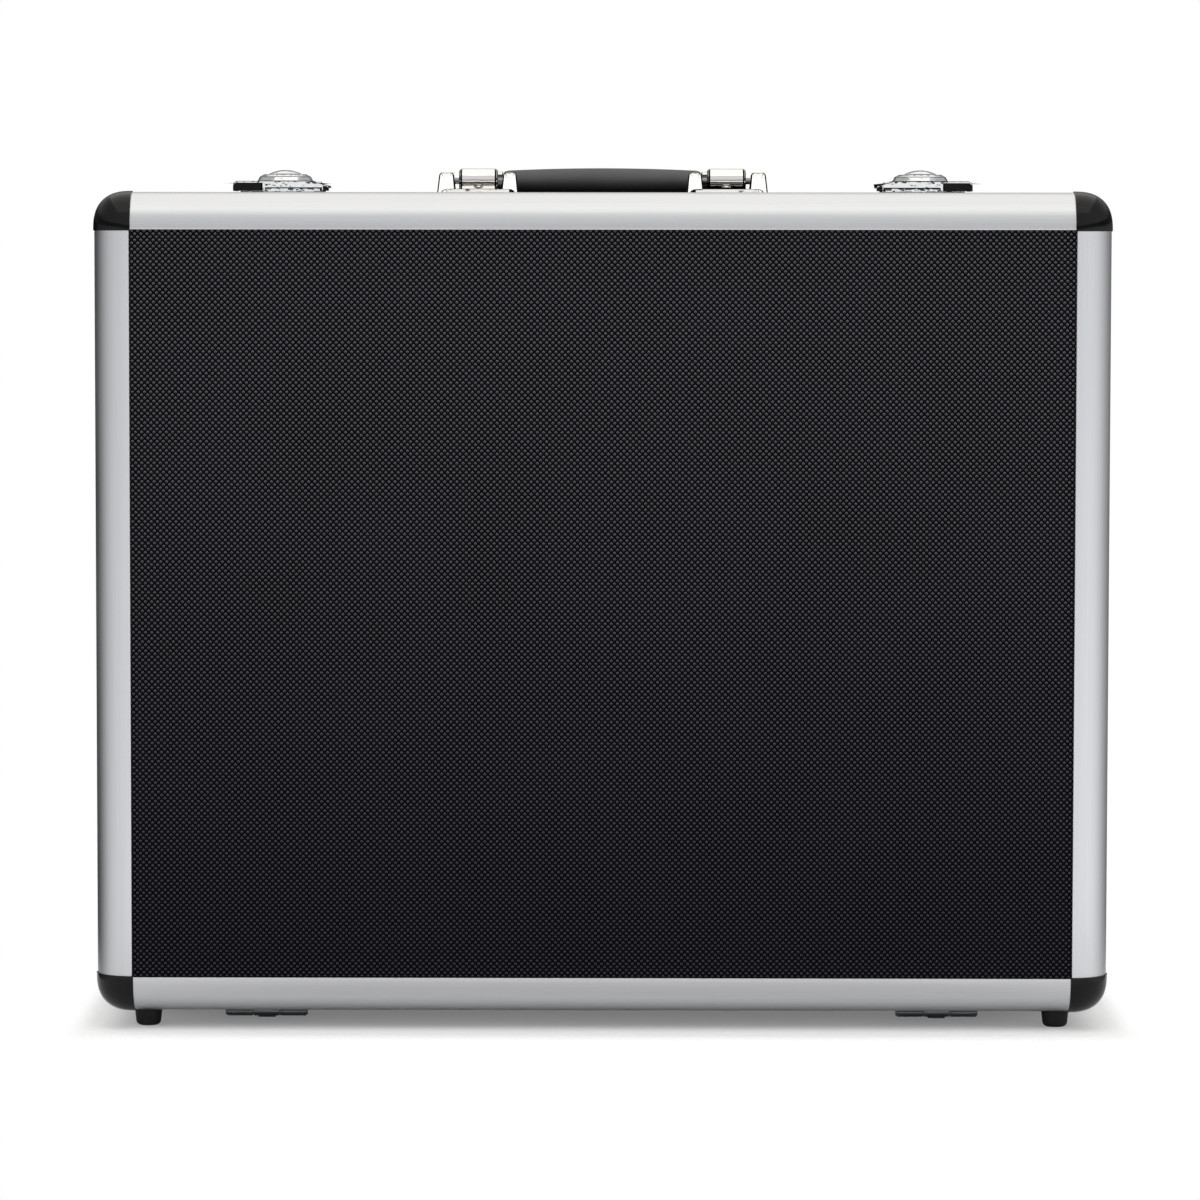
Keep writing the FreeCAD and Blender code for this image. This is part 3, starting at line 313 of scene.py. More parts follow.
def start_material(name):
    """New material with its shader and its object coordinates."""
    material = bpy.data.materials.new(name)
    material.use_nodes = True
    tree = material.node_tree
    tree.nodes.clear()
    shader = add_node(tree, "ShaderNodeBsdfPrincipled")
    add_node(tree, "ShaderNodeOutputMaterial", {"Surface": shader.outputs[0]})
    place = add_node(tree, "ShaderNodeTexCoord").outputs["Object"]
    return material, tree, shader, place


def per_metre(millimetres):
    """Scale of a pattern whose features are that many millimetres wide."""
    return 1.0 / (millimetres * MM)


def set_range(tree, shader, socket, source, low, high):
    """Drives a shader value between low and high by a pattern from 0 to 1."""
    tree.links.new(ramp(tree, source, (0.0, 1.0), (low, high), "LINEAR"), shader.inputs[socket])


def set_tint(tree, shader, source, colour, darker, lighter):
    """Varies the base colour about its own value by a pattern from 0 to 1."""
    dark = [c * darker for c in colour[:3]] + [1.0]
    light = [min(1.0, c * lighter) for c in colour[:3]] + [1.0]
    tint = mixed_colour(tree, source, dark, light)
    tree.links.new(tint, shader.inputs["Base Color"])
    return tint


def set_bump(tree, shader, source, depth_mm, strength):
    """Bump of a real depth from a pattern from 0 to 1."""
    bump = add_node(tree, "ShaderNodeBump", {"Height": source, "Distance": depth_mm * MM, "Strength": strength})
    tree.links.new(bump.outputs[0], shader.inputs["Normal"])


def laminate_finish(colour):
    """Embossed ABS laminate: dished, half-gloss pads round grooves blackened by painted shade, with a painted
    highlight on each pad's upper side, and painted light that leaves the panels duller towards the feet.
    """
    material, tree, shader, place = start_material("embossed_abs_laminate")
    cell = add_node(tree, "ShaderNodeUVMap", uv_map="cell").outputs[0]
    centred = vector(tree, "MULTIPLY_ADD", cell, (2, 2, 0), (-1, -1, 0))
    away = vector(tree, "LENGTH", vector(tree, "MULTIPLY", centred, centred), output="Value")
    flank = ramp(tree, away, PAD_FLANK, (1.0, 0.0))
    dish = ramp(tree, away, PAD_DISH, (-PAD_DISH_DEPTH, 0.0))
    form = number(tree, "ADD", flank, dish)
    # Painted shade: the gloss falls to nothing in the grooves and dips in the middle of the dish
    ring = number(tree, "MULTIPLY_ADD", dish, PAD_DISH_PAINTED_SHADE, flank)
    # Painted highlight: the gloss rises from each pad's lower side to its upper side, where overhead light falls
    upward = vector(tree, "DOT_PRODUCT", cell, (1, 1, 0), output="Value")
    rubbed = ramp(tree, upward, PAD_PAINTED_HIGHLIGHT, PAD_PAINTED_HIGHLIGHT_GLOSS)
    # Painted light: the gloss grows with height, so the panels are brighter at the top than at the feet
    height = add_node(tree, "ShaderNodeSeparateXYZ", {0: place}).outputs["Z"]
    painted_top_light = ramp(tree, height, PAINTED_TOP_LIGHT_HEIGHT, PAINTED_TOP_LIGHT_GLOSS)
    gloss = number(tree, "MULTIPLY", ring, number(tree, "MULTIPLY", rubbed, painted_top_light))
    marks = noise(tree, place, 60.0, 5.0)
    set_tint(tree, shader, marks, colour, 0.75, 1.3)
    set_range(tree, shader, "Roughness", marks, 0.22, 0.3)
    tree.links.new(gloss, shader.inputs["Specular IOR Level"])
    set_bump(tree, shader, form, 0.45, 1.0)
    shader.inputs["IOR"].default_value = 1.5
    return material


def aluminium_finish(colour):
    """Satin anodised aluminium: fine die lines along each length, and a broad soft highlight."""
    material, tree, shader, place = start_material("satin_anodised_aluminium")
    run = add_node(tree, "ShaderNodeAttribute", attribute_name="run").outputs["Vector"]
    across = per_metre(0.5)
    along = per_metre(90.0)
    squeeze = vector(tree, "MULTIPLY_ADD", run, [along - across] * 3, [across] * 3)
    stretched = vector(tree, "MULTIPLY", place, squeeze)
    lines = add_node(tree, "ShaderNodeTexNoise", {"Vector": stretched, "Scale": 1.0, "Detail": 2.0}).outputs[0]
    clouds = noise(tree, place, 45.0, 4.0)
    set_tint(tree, shader, lines, colour, 0.93, 1.06)
    set_range(tree, shader, "Roughness", clouds, 0.32, 0.4)
    set_bump(tree, shader, lines, 0.012, 0.5)
    shader.inputs["Metallic"].default_value = 1.0
    return material


def cap_finish(colour):
    """Moulded ABS with a mould-polished gloss: sharp reflections with a slight ripple and rubbed spots."""
    material, tree, shader, place = start_material("polished_black_abs")
    ripple = noise(tree, place, 9.0, 1.0)
    rubbed = noise(tree, place, 3.0, 6.0)
    set_tint(tree, shader, rubbed, colour, 0.8, 1.25)
    set_range(tree, shader, "Roughness", rubbed, 0.08, 0.16)
    set_bump(tree, shader, ripple, 0.05, 0.3)
    shader.inputs["IOR"].default_value = 1.52
    shader.inputs["Specular IOR Level"].default_value = 0.2
    return material


def chrome_finish(name, colour, painted_dark_edge_reflection, pitch_mm, depth_mm):
    """Bright chrome on pressed steel: wavy mirror with a few dull specks, and a painted dark reflection on its
    rounded edges.
    """
    material, tree, shader, place = start_material(name)
    waves = noise(tree, place, pitch_mm, 1.5)
    specks = noise(tree, place, 0.8, 4.0)
    plate = set_tint(tree, shader, specks, colour, 0.94, 1.05)
    # Painted dark reflection: the faces that soften rounded get a near-black colour
    edge = add_node(tree, "ShaderNodeAttribute", attribute_name="edge").outputs["Fac"]
    tree.links.new(mixed_colour(tree, edge, plate, painted_dark_edge_reflection), shader.inputs["Base Color"])
    set_range(tree, shader, "Roughness", specks, 0.03, 0.09)
    set_bump(tree, shader, waves, depth_mm, 0.6)
    shader.inputs["Metallic"].default_value = 1.0
    return material


def zinc_finish(name, colour):
    """Zinc-plated steel: grey metal with a cloudy, faintly crystalline plate."""
    material, tree, shader, place = start_material(name)
    crystals = add_node(tree, "ShaderNodeTexVoronoi", {"Vector": place, "Scale": per_metre(1.6)}).outputs["Color"]
    clouds = noise(tree, place, 6.0, 4.0)
    set_tint(tree, shader, clouds, colour, 0.75, 1.2)
    set_range(tree, shader, "Roughness", crystals, 0.28, 0.42)
    set_bump(tree, shader, clouds, 0.03, 0.3)
    shader.inputs["Metallic"].default_value = 1.0
    return material


def grip_finish(name, colour):
    """Soft PVC moulding: satin black with a fine spark-eroded grain."""
    material, tree, shader, place = start_material(name)
    grain = noise(tree, place, 0.35, 2.0)
    worn = noise(tree, place, 14.0, 4.0)
    set_tint(tree, shader, worn, colour, 0.85, 1.2)
    set_range(tree, shader, "Roughness", worn, 0.55, 0.68)
    set_bump(tree, shader, grain, 0.03, 0.4)
    shader.inputs["Specular IOR Level"].default_value = 0.15
    return material


def rubber_finish(colour):
    """Moulded rubber: matt black with a dusty bloom."""
    material, tree, shader, place = start_material("moulded_rubber")
    grain = noise(tree, place, 0.5, 3.0)
    bloom = noise(tree, place, 4.0, 4.0)
    set_tint(tree, shader, bloom, colour, 0.8, 1.5)
    set_range(tree, shader, "Roughness", bloom, 0.55, 0.75)
    set_bump(tree, shader, grain, 0.04, 0.5)
    shader.inputs["Specular IOR Level"].default_value = 0.35
    return material


def board_finish(colour):
    """Raw fibreboard: brown fibres pressed flat, lighter and darker in short streaks."""
    material, tree, shader, place = start_material("raw_fibreboard")
    fibres = noise(tree, place, 1.2, 6.0)
    set_tint(tree, shader, fibres, colour, 0.55, 1.4)
    set_range(tree, shader, "Roughness", fibres, 0.75, 0.9)
    set_bump(tree, shader, fibres, 0.08, 0.4)
    return material


def foam_finish(colour):
    """Open-cell polyurethane foam: dull charcoal full of cells about a millimetre wide."""
    material, tree, shader, place = start_material("open_cell_foam")
    cells = add_node(tree, "ShaderNodeTexVoronoi", {"Vector": place, "Scale": per_metre(1.3)}).outputs["Distance"]
    clouds = noise(tree, place, 25.0, 4.0)
    set_tint(tree, shader, number(tree, "MULTIPLY", cells, clouds), colour, 0.45, 1.9)
    set_bump(tree, shader, cells, 0.6, 0.7)
    shader.inputs["Roughness"].default_value = 0.95
    shader.inputs["Specular IOR Level"].default_value = 0.15
    shader.inputs["Sheen Weight"].default_value = 0.15
    return material


# Pieces


def settle(name, bm, material, body, nodes, sharp=50.0):
    """Makes a smooth-shaded piece of a bmesh, which rides a body and stands for the named nodes."""
    mesh = bpy.data.meshes.new(name)
    bm.to_mesh(mesh)
    bm.free()
    mesh.shade_smooth()
    mesh.set_sharp_from_angle(angle=math.radians(sharp))
    mesh.materials.append(material)
    piece = bpy.data.objects.new(name, mesh)
    bpy.context.scene.collection.objects.link(piece)
    even = piece.modifiers.new("face_weighted", "WEIGHTED_NORMAL")
    even.keep_sharp = True
    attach(piece, body)
    if nodes:
        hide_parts(*nodes)
    return piece


def dress(nodes, material):
    """Gives CAD nodes that keep their own shape a finish."""
    for name in nodes:
        mesh = frame["nodes"][name].data
        mesh.materials.clear()
        mesh.materials.append(material)


def merged_copy(node):
    """A node's shape with its flat faces joined."""
    bm = bmesh.new()
    bm.from_mesh(frame["nodes"][node].data)
    bmesh.ops.remove_doubles(bm, verts=bm.verts, dist=MERGE_DISTANCE)
    bmesh.ops.dissolve_limit(bm, angle_limit=FLAT_ANGLE, verts=bm.verts, edges=bm.edges)
    return bm


def bevel(bm, edges, radius, segments, clamp):
    """Rounds edges, and gives the rounded faces."""
    return bmesh.ops.bevel(
        bm, geom=edges, offset=radius, offset_type="OFFSET", segments=segments, profile=0.5, affect="EDGES",
        clamp_overlap=clamp, material=-1,
    )["faces"]


def cut_off(bm, point, outward):
    """Cuts away what lies beyond a plane."""
    geom = bm.verts[:] + bm.edges[:] + bm.faces[:]
    bmesh.ops.bisect_plane(bm, geom=geom, plane_co=point, plane_no=outward, clear_outer=True)


def soften(bm, radius, segments=2, foot=-math.inf, reach=-math.inf):
    """Rounds the sharp edges that start above foot and go up past reach, and marks the rounded faces."""
    mark = bm.faces.layers.float.get("edge") or bm.faces.layers.float.new("edge")
    edges = [
        e
        for e in bm.edges
        if len(e.link_faces) == 2
        and e.calc_face_angle() > SHARP_ANGLE
        and min(v.co.z for v in e.verts) > foot
        and max(v.co.z for v in e.verts) > reach
    ]
    for face in bevel(bm, edges, radius, segments, clamp=False):
        face[mark] = 1.0


def rounded_copy(node, radius, segments=2):
    """A node's shape with its flat faces joined and its sharp edges rounded."""
    bm = merged_copy(node)
    soften(bm, radius, segments)
    return bm


def join(bm, part):
    """Adds a finished part to a bmesh."""
    scratch = bpy.data.meshes.new("scratch")
    part.to_mesh(scratch)
    part.free()
    bm.from_mesh(scratch)
    bpy.data.meshes.remove(scratch)


def body_of(node):
    """Name of the body that carries a node."""
    for body, members in frame["record"]["behaviour"]["bodies"].items():
        if node in members:
            return body
    raise ValueError("no body carries " + node)


def mark_runs(bm, pick):
    """Stores on each vertex the axis along which its length was drawn."""
    layer = bm.verts.layers.float_vector.new("run")
    for vert in bm.verts:
        axis = pick(vert.co)
        vert[layer] = [1.0 if i == axis else 0.0 for i in range(3)]


def mitre_axis(point):
    """Axis of the frame length that a point of the upright outline belongs to: 0 across, 2 upright."""
    low, high = (Vector(corner) for corner in CAD_FRAME)
    across = min(point.x - low.x, high.x - point.x)
    upright = min(point.z - low.z, high.z - point.z)
    return 0 if upright < across else 2


class FLIGHTCASE_OT_panels(bpy.types.Operator):
    """Embossed laminate on the lid's face, the back and the sides"""

    bl_idname = "flight_case.panels"
    bl_label = "Embossed panels"

    def execute(self, context):
        settings = context.scene.flight_case.panels
        finish = laminate_finish(settings.laminate)
        face_low, face_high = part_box("lid_face_skin")
        wide = face_high.x - face_low.x
        tall = face_high.z - face_low.z
        mid_z = (face_low.z + face_high.z) / 2
        for node, outward in (("lid_face_skin", -1), ("back_skin", 1)):
            low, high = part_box(node)
            skin_y = low.y if outward < 0 else high.y
            bm = bmesh.new()
            self.sheet(bm, settings, wide, tall, Vector((0, skin_y, mid_z)), Vector((0, outward, 0)))
            settle(node + "_embossed", bm, finish, body_of(node), [node], sharp=1.0)
        for node in ("lid_side_skins", "body_side_skins"):
            low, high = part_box(node)
            mid_y = (low.y + high.y) / 2
            deep = high.y - low.y
            bm = bmesh.new()
            self.sheet(bm, settings, wide, deep, Vector((0, mid_y, low.z)), Vector((0, 0, -1)))
            self.sheet(bm, settings, wide, deep, Vector((0, mid_y, high.z)), Vector((0, 0, 1)))
            self.sheet(bm, settings, deep, tall, Vector((low.x, mid_y, mid_z)), Vector((-1, 0, 0)))
            self.sheet(bm, settings, deep, tall, Vector((high.x, mid_y, mid_z)), Vector((1, 0, 0)))
            settle(node + "_embossed", bm, finish, body_of(node), [node], sharp=1.0)
        return {"FINISHED"}

    def sheet(self, bm, settings, width, height, middle, outward):
        """Closed sheet of raised diamonds with its tops in the plane through middle."""
        part = bmesh.new()
        cell = part.loops.layers.uv.new("cell")
        count = math.ceil((width + height) / math.sqrt(2) / settings.cell)
        bmesh.ops.create_grid(part, x_segments=count, y_segments=count, size=count * settings.cell / 2)
        bmesh.ops.rotate(part, verts=part.verts, matrix=Matrix.Rotation(math.pi / 4, 3, "Z"))
        bmesh.ops.translate(part, verts=part.verts, vec=(0, 0, -settings.relief))
        reach = math.hypot(settings.cell, settings.cell)
        spare = [
            f
            for f in part.faces
            if abs(f.calc_center_median().x) > width / 2 + reach
            or abs(f.calc_center_median().y) > height / 2 + reach
        ]
        bmesh.ops.delete(part, geom=spare, context="FACES")
        for face in part.faces:
            for loop, corner in zip(face.loops, ((0, 0), (1, 0), (1, 1), (0, 1))):
                loop[cell].uv = corner
        bmesh.ops.poke(part, faces=part.faces, offset=settings.relief, center_mode="MEAN")
        for way in (Vector((1, 0, 0)), Vector((-1, 0, 0)), Vector((0, 1, 0)), Vector((0, -1, 0))):
            stop = abs(way.x) * width / 2 + abs(way.y) * height / 2
            cut_off(part, way * stop, way)
        rim = [e for e in part.edges if e.is_boundary]
        fresh = bmesh.ops.extrude_edge_only(part, edges=rim)["geom"]
        for item in fresh:
            if isinstance(item, bmesh.types.BMVert):
                item.co.z = -settings.relief - settings.sheet
        hem = [g for g in fresh if isinstance(g, bmesh.types.BMEdge) and g.is_boundary]
        bmesh.ops.edgeloop_fill(part, edges=hem)
        bmesh.ops.recalc_face_normals(part, faces=part.faces)
        turn = outward.to_track_quat("Z", "Y").to_matrix().to_4x4()
        if abs(outward.x) > 0.5:
            turn = turn @ Matrix.Rotation(self.spin_to_upright(turn), 4, "Z")
        bmesh.ops.transform(part, verts=part.verts, matrix=Matrix.Translation(middle) @ turn)
        join(bm, part)

    def spin_to_upright(self, turn):
        """Quarter turn needed so that the sheet's height runs along the case's height."""
        up = turn.to_3x3() @ Vector((0, 1, 0))
        return 0.0 if abs(up.z) > 0.5 else math.pi / 2


class FLIGHTCASE_OT_frame(bpy.types.Operator):
    """Satin edge extrusions, closing rims and ball corner caps"""

    bl_idname = "flight_case.frame"
    bl_label = "Frame and corner caps"

    def execute(self, context):
        settings = context.scene.flight_case.frame
        metal = aluminium_finish(settings.aluminium)
        for node in ("lid_edge_profiles", "body_edge_profiles", "lid_rim", "body_rim"):
            bm = rounded_copy(node, settings.edge_round)
            mark_runs(bm, mitre_axis)
            settle(node + "_satin", bm, metal, body_of(node), [node])
        for node in ("lid_corner_profiles", "body_corner_profiles"):
            bm = rounded_copy(node, settings.edge_round)
            mark_runs(bm, lambda point: 1)
            settle(node + "_satin", bm, metal, body_of(node), [node])
        plastic = cap_finish(settings.cap)
        for node, front in (("lid_corner_caps", -1), ("body_corner_caps", 1)):
            bm = bmesh.new()
            for right in (-1, 1):
                for top in (-1, 1):
                    self.cap(bm, settings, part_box(node), Vector((right, front, top)))
            settle(node + "_gloss", bm, plastic, body_of(node), [node])
        return {"FINISHED"}

    def cap(self, bm, settings, box, corner):
        """Ball corner whose three collars slip over the extrusions."""
        low, high = box
        bar_low, bar_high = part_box("lid_edge_profiles")
        radius = bar_high.y - bar_low.y + high.x - bar_high.x
        outer = Vector([high[i] if corner[i] > 0 else low[i] for i in range(3)])
        part = bmesh.new()
        for size in (radius, radius - settings.cap_wall):
            self.shell(part, size, settings.cap_collar, settings.cap_fullness)
        bmesh.ops.bridge_loops(part, edges=[e for e in part.edges if e.is_boundary])
        bmesh.ops.recalc_face_normals(part, faces=part.faces)
        rims = [e for e in part.edges if e.calc_face_angle() > RIM_ANGLE]
        bevel(part, rims, settings.cap_round, segments=2, clamp=True)
        bmesh.ops.scale(part, verts=part.verts, vec=corner)
        bmesh.ops.translate(part, verts=part.verts, vec=outer - corner * radius)
        bmesh.ops.recalc_face_normals(part, faces=part.faces)
        join(bm, part)

    def shell(self, part, radius, collar, power):
        """Eighth of a ball, fuller in its front outline, with a straight collar on each of its three arcs."""
        ball = bmesh.new()
        bmesh.ops.create_icosphere(ball, subdivisions=BALL_SUBDIVISIONS, radius=radius)
        for vert in ball.verts:
            outline = (abs(vert.co.x) ** power + abs(vert.co.z) ** power) ** (1 / power)
            vert.co *= radius / math.hypot(outline, vert.co.y)
        for i in range(3):
            cut_off(ball, (0, 0, 0), Vector([-1.0 if k == i else 0.0 for k in range(3)]))
        for i in range(3):
            arc = [e for e in ball.edges if e.is_boundary and all(abs(v.co[i]) < ON_PLANE for v in e.verts)]
            fresh = bmesh.ops.extrude_edge_only(ball, edges=arc)["geom"]
            verts = [g for g in fresh if isinstance(g, bmesh.types.BMVert)]
            bmesh.ops.translate(ball, verts=verts, vec=[-collar if k == i else 0.0 for k in range(3)])
        join(part, ball)


class FLIGHTCASE_OT_latches(bpy.types.Operator):
    """Chrome latches with their locks and catches, and black blocks of painted shade in the levers' hollow ends"""

    bl_idname = "flight_case.latches"
    bl_label = "Latches"

    def execute(self, context):
        settings = context.scene.flight_case.hardware
        chrome = chrome_finish(
            "chrome_plated_pressing", settings.chrome, settings.edge, pitch_mm=2.6, depth_mm=0.4
        )
        # The painted shade blocks wear the soft black plastic finish
        plastic = grip_finish("latch_insert_plastic", settings.insert)
        zinc = zinc_finish("zinc_plated_latch_parts", settings.zinc)
        for side, outward in zip(SIDES, (-1, 1)):
            for piece in ("base", "lever", "plug", "catch"):
                node = "latch_%s_%s" % (side, piece)
                bm = merged_copy(node)
                if piece == "catch":
                    self.raise_hem(bm, settings, side)
                soften(bm, settings.press_round)
                settle(node + "_bright", bm, chrome, body_of(node), [node])
            # Painted shade: a black block fills each hollow end of the lever, where only shade lies
            lever = "latch_%s_lever" % side
            ends = (("outer", outward, settings.shade_block_size), ("inner", -outward, settings.tip_size))
            for end, way, size in ends:
                bm = self.insert(settings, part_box(lever), way, Vector(size))
                settle("latch_%s_%s_insert" % (side, end), bm, plastic, body_of(lever), [])
        dress(["latch_%s_%s" % (side, piece) for side in SIDES for piece in ("pin", "cam", "spring")], zinc)
        return {"FINISHED"}

    def raise_hem(self, bm, settings, side):
        """Lifts the catch's front hem to just below the lever, as a shut latch has it."""
        low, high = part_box("latch_%s_catch" % side)
        for vert in bm.verts:
            if vert.co.y < low.y + settings.hem and vert.co.z > high.z - settings.press_round:
                vert.co.z += settings.hem_lift

    def insert(self, settings, lever_box, way, size):
        """Black block of painted shade in the lever's hollow end that way points to, with its outer top corner
        rounded off.
        """
        low, high = lever_box
        edge = (high.x if way > 0 else low.x) + way * settings.shade_block_proud
        front = low.y - settings.shade_block_proud
        foot = low.z + settings.shade_block_lift
        middle = Vector((edge - way * size.x / 2, front + size.y / 2, foot + size.z / 2))
        bm = bmesh.new()
        bmesh.ops.create_cube(bm, size=1.0)
        bmesh.ops.scale(bm, verts=bm.verts, vec=size)
        bmesh.ops.translate(bm, verts=bm.verts, vec=middle)
        corner = [
            e for e in bm.edges if all((v.co.x - middle.x) * way > 0 and v.co.z > middle.z for v in e.verts)
        ]
        bevel(bm, corner, settings.shade_block_corner, segments=5, clamp=True)
        soften(bm, settings.press_round)
        return bm


class FLIGHTCASE_OT_handle(bpy.types.Operator):
    """Folding handle: chrome ears and arms round a soft black grip"""

    bl_idname = "flight_case.handle"
    bl_label = "Handle"

    def execute(self, context):
        settings = context.scene.flight_case.hardware
        chrome = chrome_finish("bright_chrome_plate", settings.bright, settings.edge, pitch_mm=5.0, depth_mm=0.2)
        zinc = zinc_finish("zinc_plated_handle_parts", settings.zinc)
        for side in SIDES:
            base = "handle_%s_base" % side
            pin = "handle_%s_pin" % side
            bm = merged_copy(base)
            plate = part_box(base)[0].z + settings.base_plate
            soften(bm, settings.ear_round, 3, foot=plate - settings.press_round, reach=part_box(pin)[0].z)
            soften(bm, settings.press_round)
            settle(base + "_bright", bm, chrome, body_of(base), [base])
            arm = "handle_%s_arm" % side
            bm = rounded_copy(arm, settings.arm_round, segments=4)
            settle(arm + "_bright", bm, chrome, body_of(arm), [arm])
        dress(["handle_left_pin", "handle_right_pin", "handle_core"], zinc)
        bm = rounded_copy("handle_rivets", settings.press_round)
        settle("handle_rivets_bright", bm, chrome, body_of("handle_rivets"), ["handle_rivets"])
        self.grip(settings)
        return {"FINISHED"}

    def grip(self, settings):
        """Oval grip with a straight underside, a crowned top and rolled ends."""
        low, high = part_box("handle_grip")
        half = high.x
        middle_y = (low.y + high.y) / 2
        bm = bmesh.new()
        ring = bmesh.ops.create_circle(bm, segments=settings.grip_sides, radius=1.0)["verts"]
        edges = bm.edges[:]
        placed = Matrix.Identity(4)
        for step in range(GRIP_STEPS + 1):
            along = math.sin((step / GRIP_STEPS - 0.5) * math.pi)
            crown = settings.grip_crown * along * along
            rolled = max(0.0, (abs(along) - (1.0 - GRIP_ROLL_SHARE)) / GRIP_ROLL_SHARE)
            roll = settings.grip_roll * (1.0 - math.sqrt(max(0.0, 1.0 - rolled**2)))
            deep = (high.y - low.y) / 2 - crown / 2 - roll
            tall = (high.z - low.z) / 2 - crown / 2 - roll
            centre = Vector((half * along, middle_y, low.z + roll + tall))
            shape = Matrix((
                (0.0, 0.0, 1.0, centre.x),
                (deep, 0.0, 0.0, centre.y),
                (0.0, tall, 0.0, centre.z),
                (0.0, 0.0, 0.0, 1.0),
            ))
            if step:
                fresh = bmesh.ops.extrude_edge_only(bm, edges=edges)["geom"]
                ring = [g for g in fresh if isinstance(g, bmesh.types.BMVert)]
                edges = [
                    g for g in fresh if isinstance(g, bmesh.types.BMEdge) and all(v in ring for v in g.verts)
                ]
            bmesh.ops.transform(bm, verts=ring, matrix=shape @ placed.inverted())
            placed = shape
        bmesh.ops.holes_fill(bm, edges=[e for e in bm.edges if e.is_boundary], sides=0)
        bmesh.ops.recalc_face_normals(bm, faces=bm.faces)
        finish = grip_finish("satin_pvc_grip", settings.grip)
        settle("handle_grip_soft", bm, finish, body_of("handle_grip"), ["handle_grip"])


class FLIGHTCASE_OT_hinges(bpy.types.Operator):
    """Zinc-plated hinges and rivets, rubber feet and their screws"""

    bl_idname = "flight_case.hinges"
    bl_label = "Hinges and feet"

    def execute(self, context):
        settings = context.scene.flight_case.hardware
        zinc = zinc_finish("zinc_plated_hinges", settings.zinc)
        leaves = ["hinge_%s_%s" % (side, piece) for side in SIDES for piece in ("body_leaf", "lid_leaf")]
        for node in leaves + ["lid_rivets", "body_rivets", "lid_foot_screws", "body_foot_screws"]:
            bm = rounded_copy(node, settings.press_round)
            settle(node + "_plated", bm, zinc, body_of(node), [node])
        dress(["hinge_left_pin", "hinge_right_pin"], zinc)
        rubber = rubber_finish(settings.rubber)
        for node in ("lid_feet", "body_feet"):
            bm = rounded_copy(node, settings.foot_round, segments=3)
            settle(node + "_moulded", bm, rubber, body_of(node), [node])
        return {"FINISHED"}


class FLIGHTCASE_OT_lining(bpy.types.Operator):
    """Fibreboard behind the laminate and the foam lining"""

    bl_idname = "flight_case.lining"
    bl_label = "Boards and foam"

    def execute(self, context):
        settings = context.scene.flight_case.lining
        boards = ["lid_face_board", "back_board", "lid_side_boards", "body_side_boards"]
        dress(boards, board_finish(settings.board))
        foam = foam_finish(settings.foam)
        for node in ("foam_base", "foam_walls", "foam_dividers"):
            bm = rounded_copy(node, settings.soft_edge, segments=3)
            piece = settle(node + "_cut", bm, foam, body_of(node), [node])
        self.waves(settings, foam)
        return {"FINISHED"}

    def waves(self, settings, foam):
        """Convoluted pad in the lid: rounded peaks and hollows cut from one slab."""
        low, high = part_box("lid_foam")
        wide = (high.x - low.x) / 2
        tall = (high.z - low.z) / 2
        bm = bmesh.new()
        bmesh.ops.create_grid(bm, x_segments=WAVE_GRID[0], y_segments=WAVE_GRID[1], size=1.0)
        bmesh.ops.scale(bm, verts=bm.verts, vec=(wide, tall, 1.0))
        for way_x, way_y, angle in itertools.product((-1, 1), (-1, 1), PAD_CORNER_CUTS):
            out = Vector((way_x * math.cos(angle), way_y * math.sin(angle), 0))
            centre = Vector((way_x * (wide - PAD_CORNER), way_y * (tall - PAD_CORNER), 0))
            cut_off(bm, centre + out * PAD_CORNER, out)
        rim = bmesh.ops.extrude_edge_only(bm, edges=[e for e in bm.edges if e.is_boundary])["geom"]
        floor = {g for g in rim if isinstance(g, bmesh.types.BMVert)}
        for vert in bm.verts:
            if vert in floor:
                vert.co.z = low.y - high.y
            else:
                wave = sum(math.cos(place / settings.wave * 2 * math.pi) for place in vert.co.xy)
                vert.co.z = -settings.wave_depth * (0.5 - wave / 4)
        bmesh.ops.holes_fill(bm, edges=[e for e in bm.edges if e.is_boundary], sides=0)
        bmesh.ops.recalc_face_normals(bm, faces=bm.faces)
        turn = Matrix.Rotation(-math.pi / 2, 4, "X")
        middle = Vector((0, high.y, (low.z + high.z) / 2))
        bmesh.ops.transform(bm, verts=bm.verts, matrix=Matrix.Translation(middle) @ turn)
        piece = settle("lid_foam_waves", bm, foam, body_of("lid_foam"), ["lid_foam"])


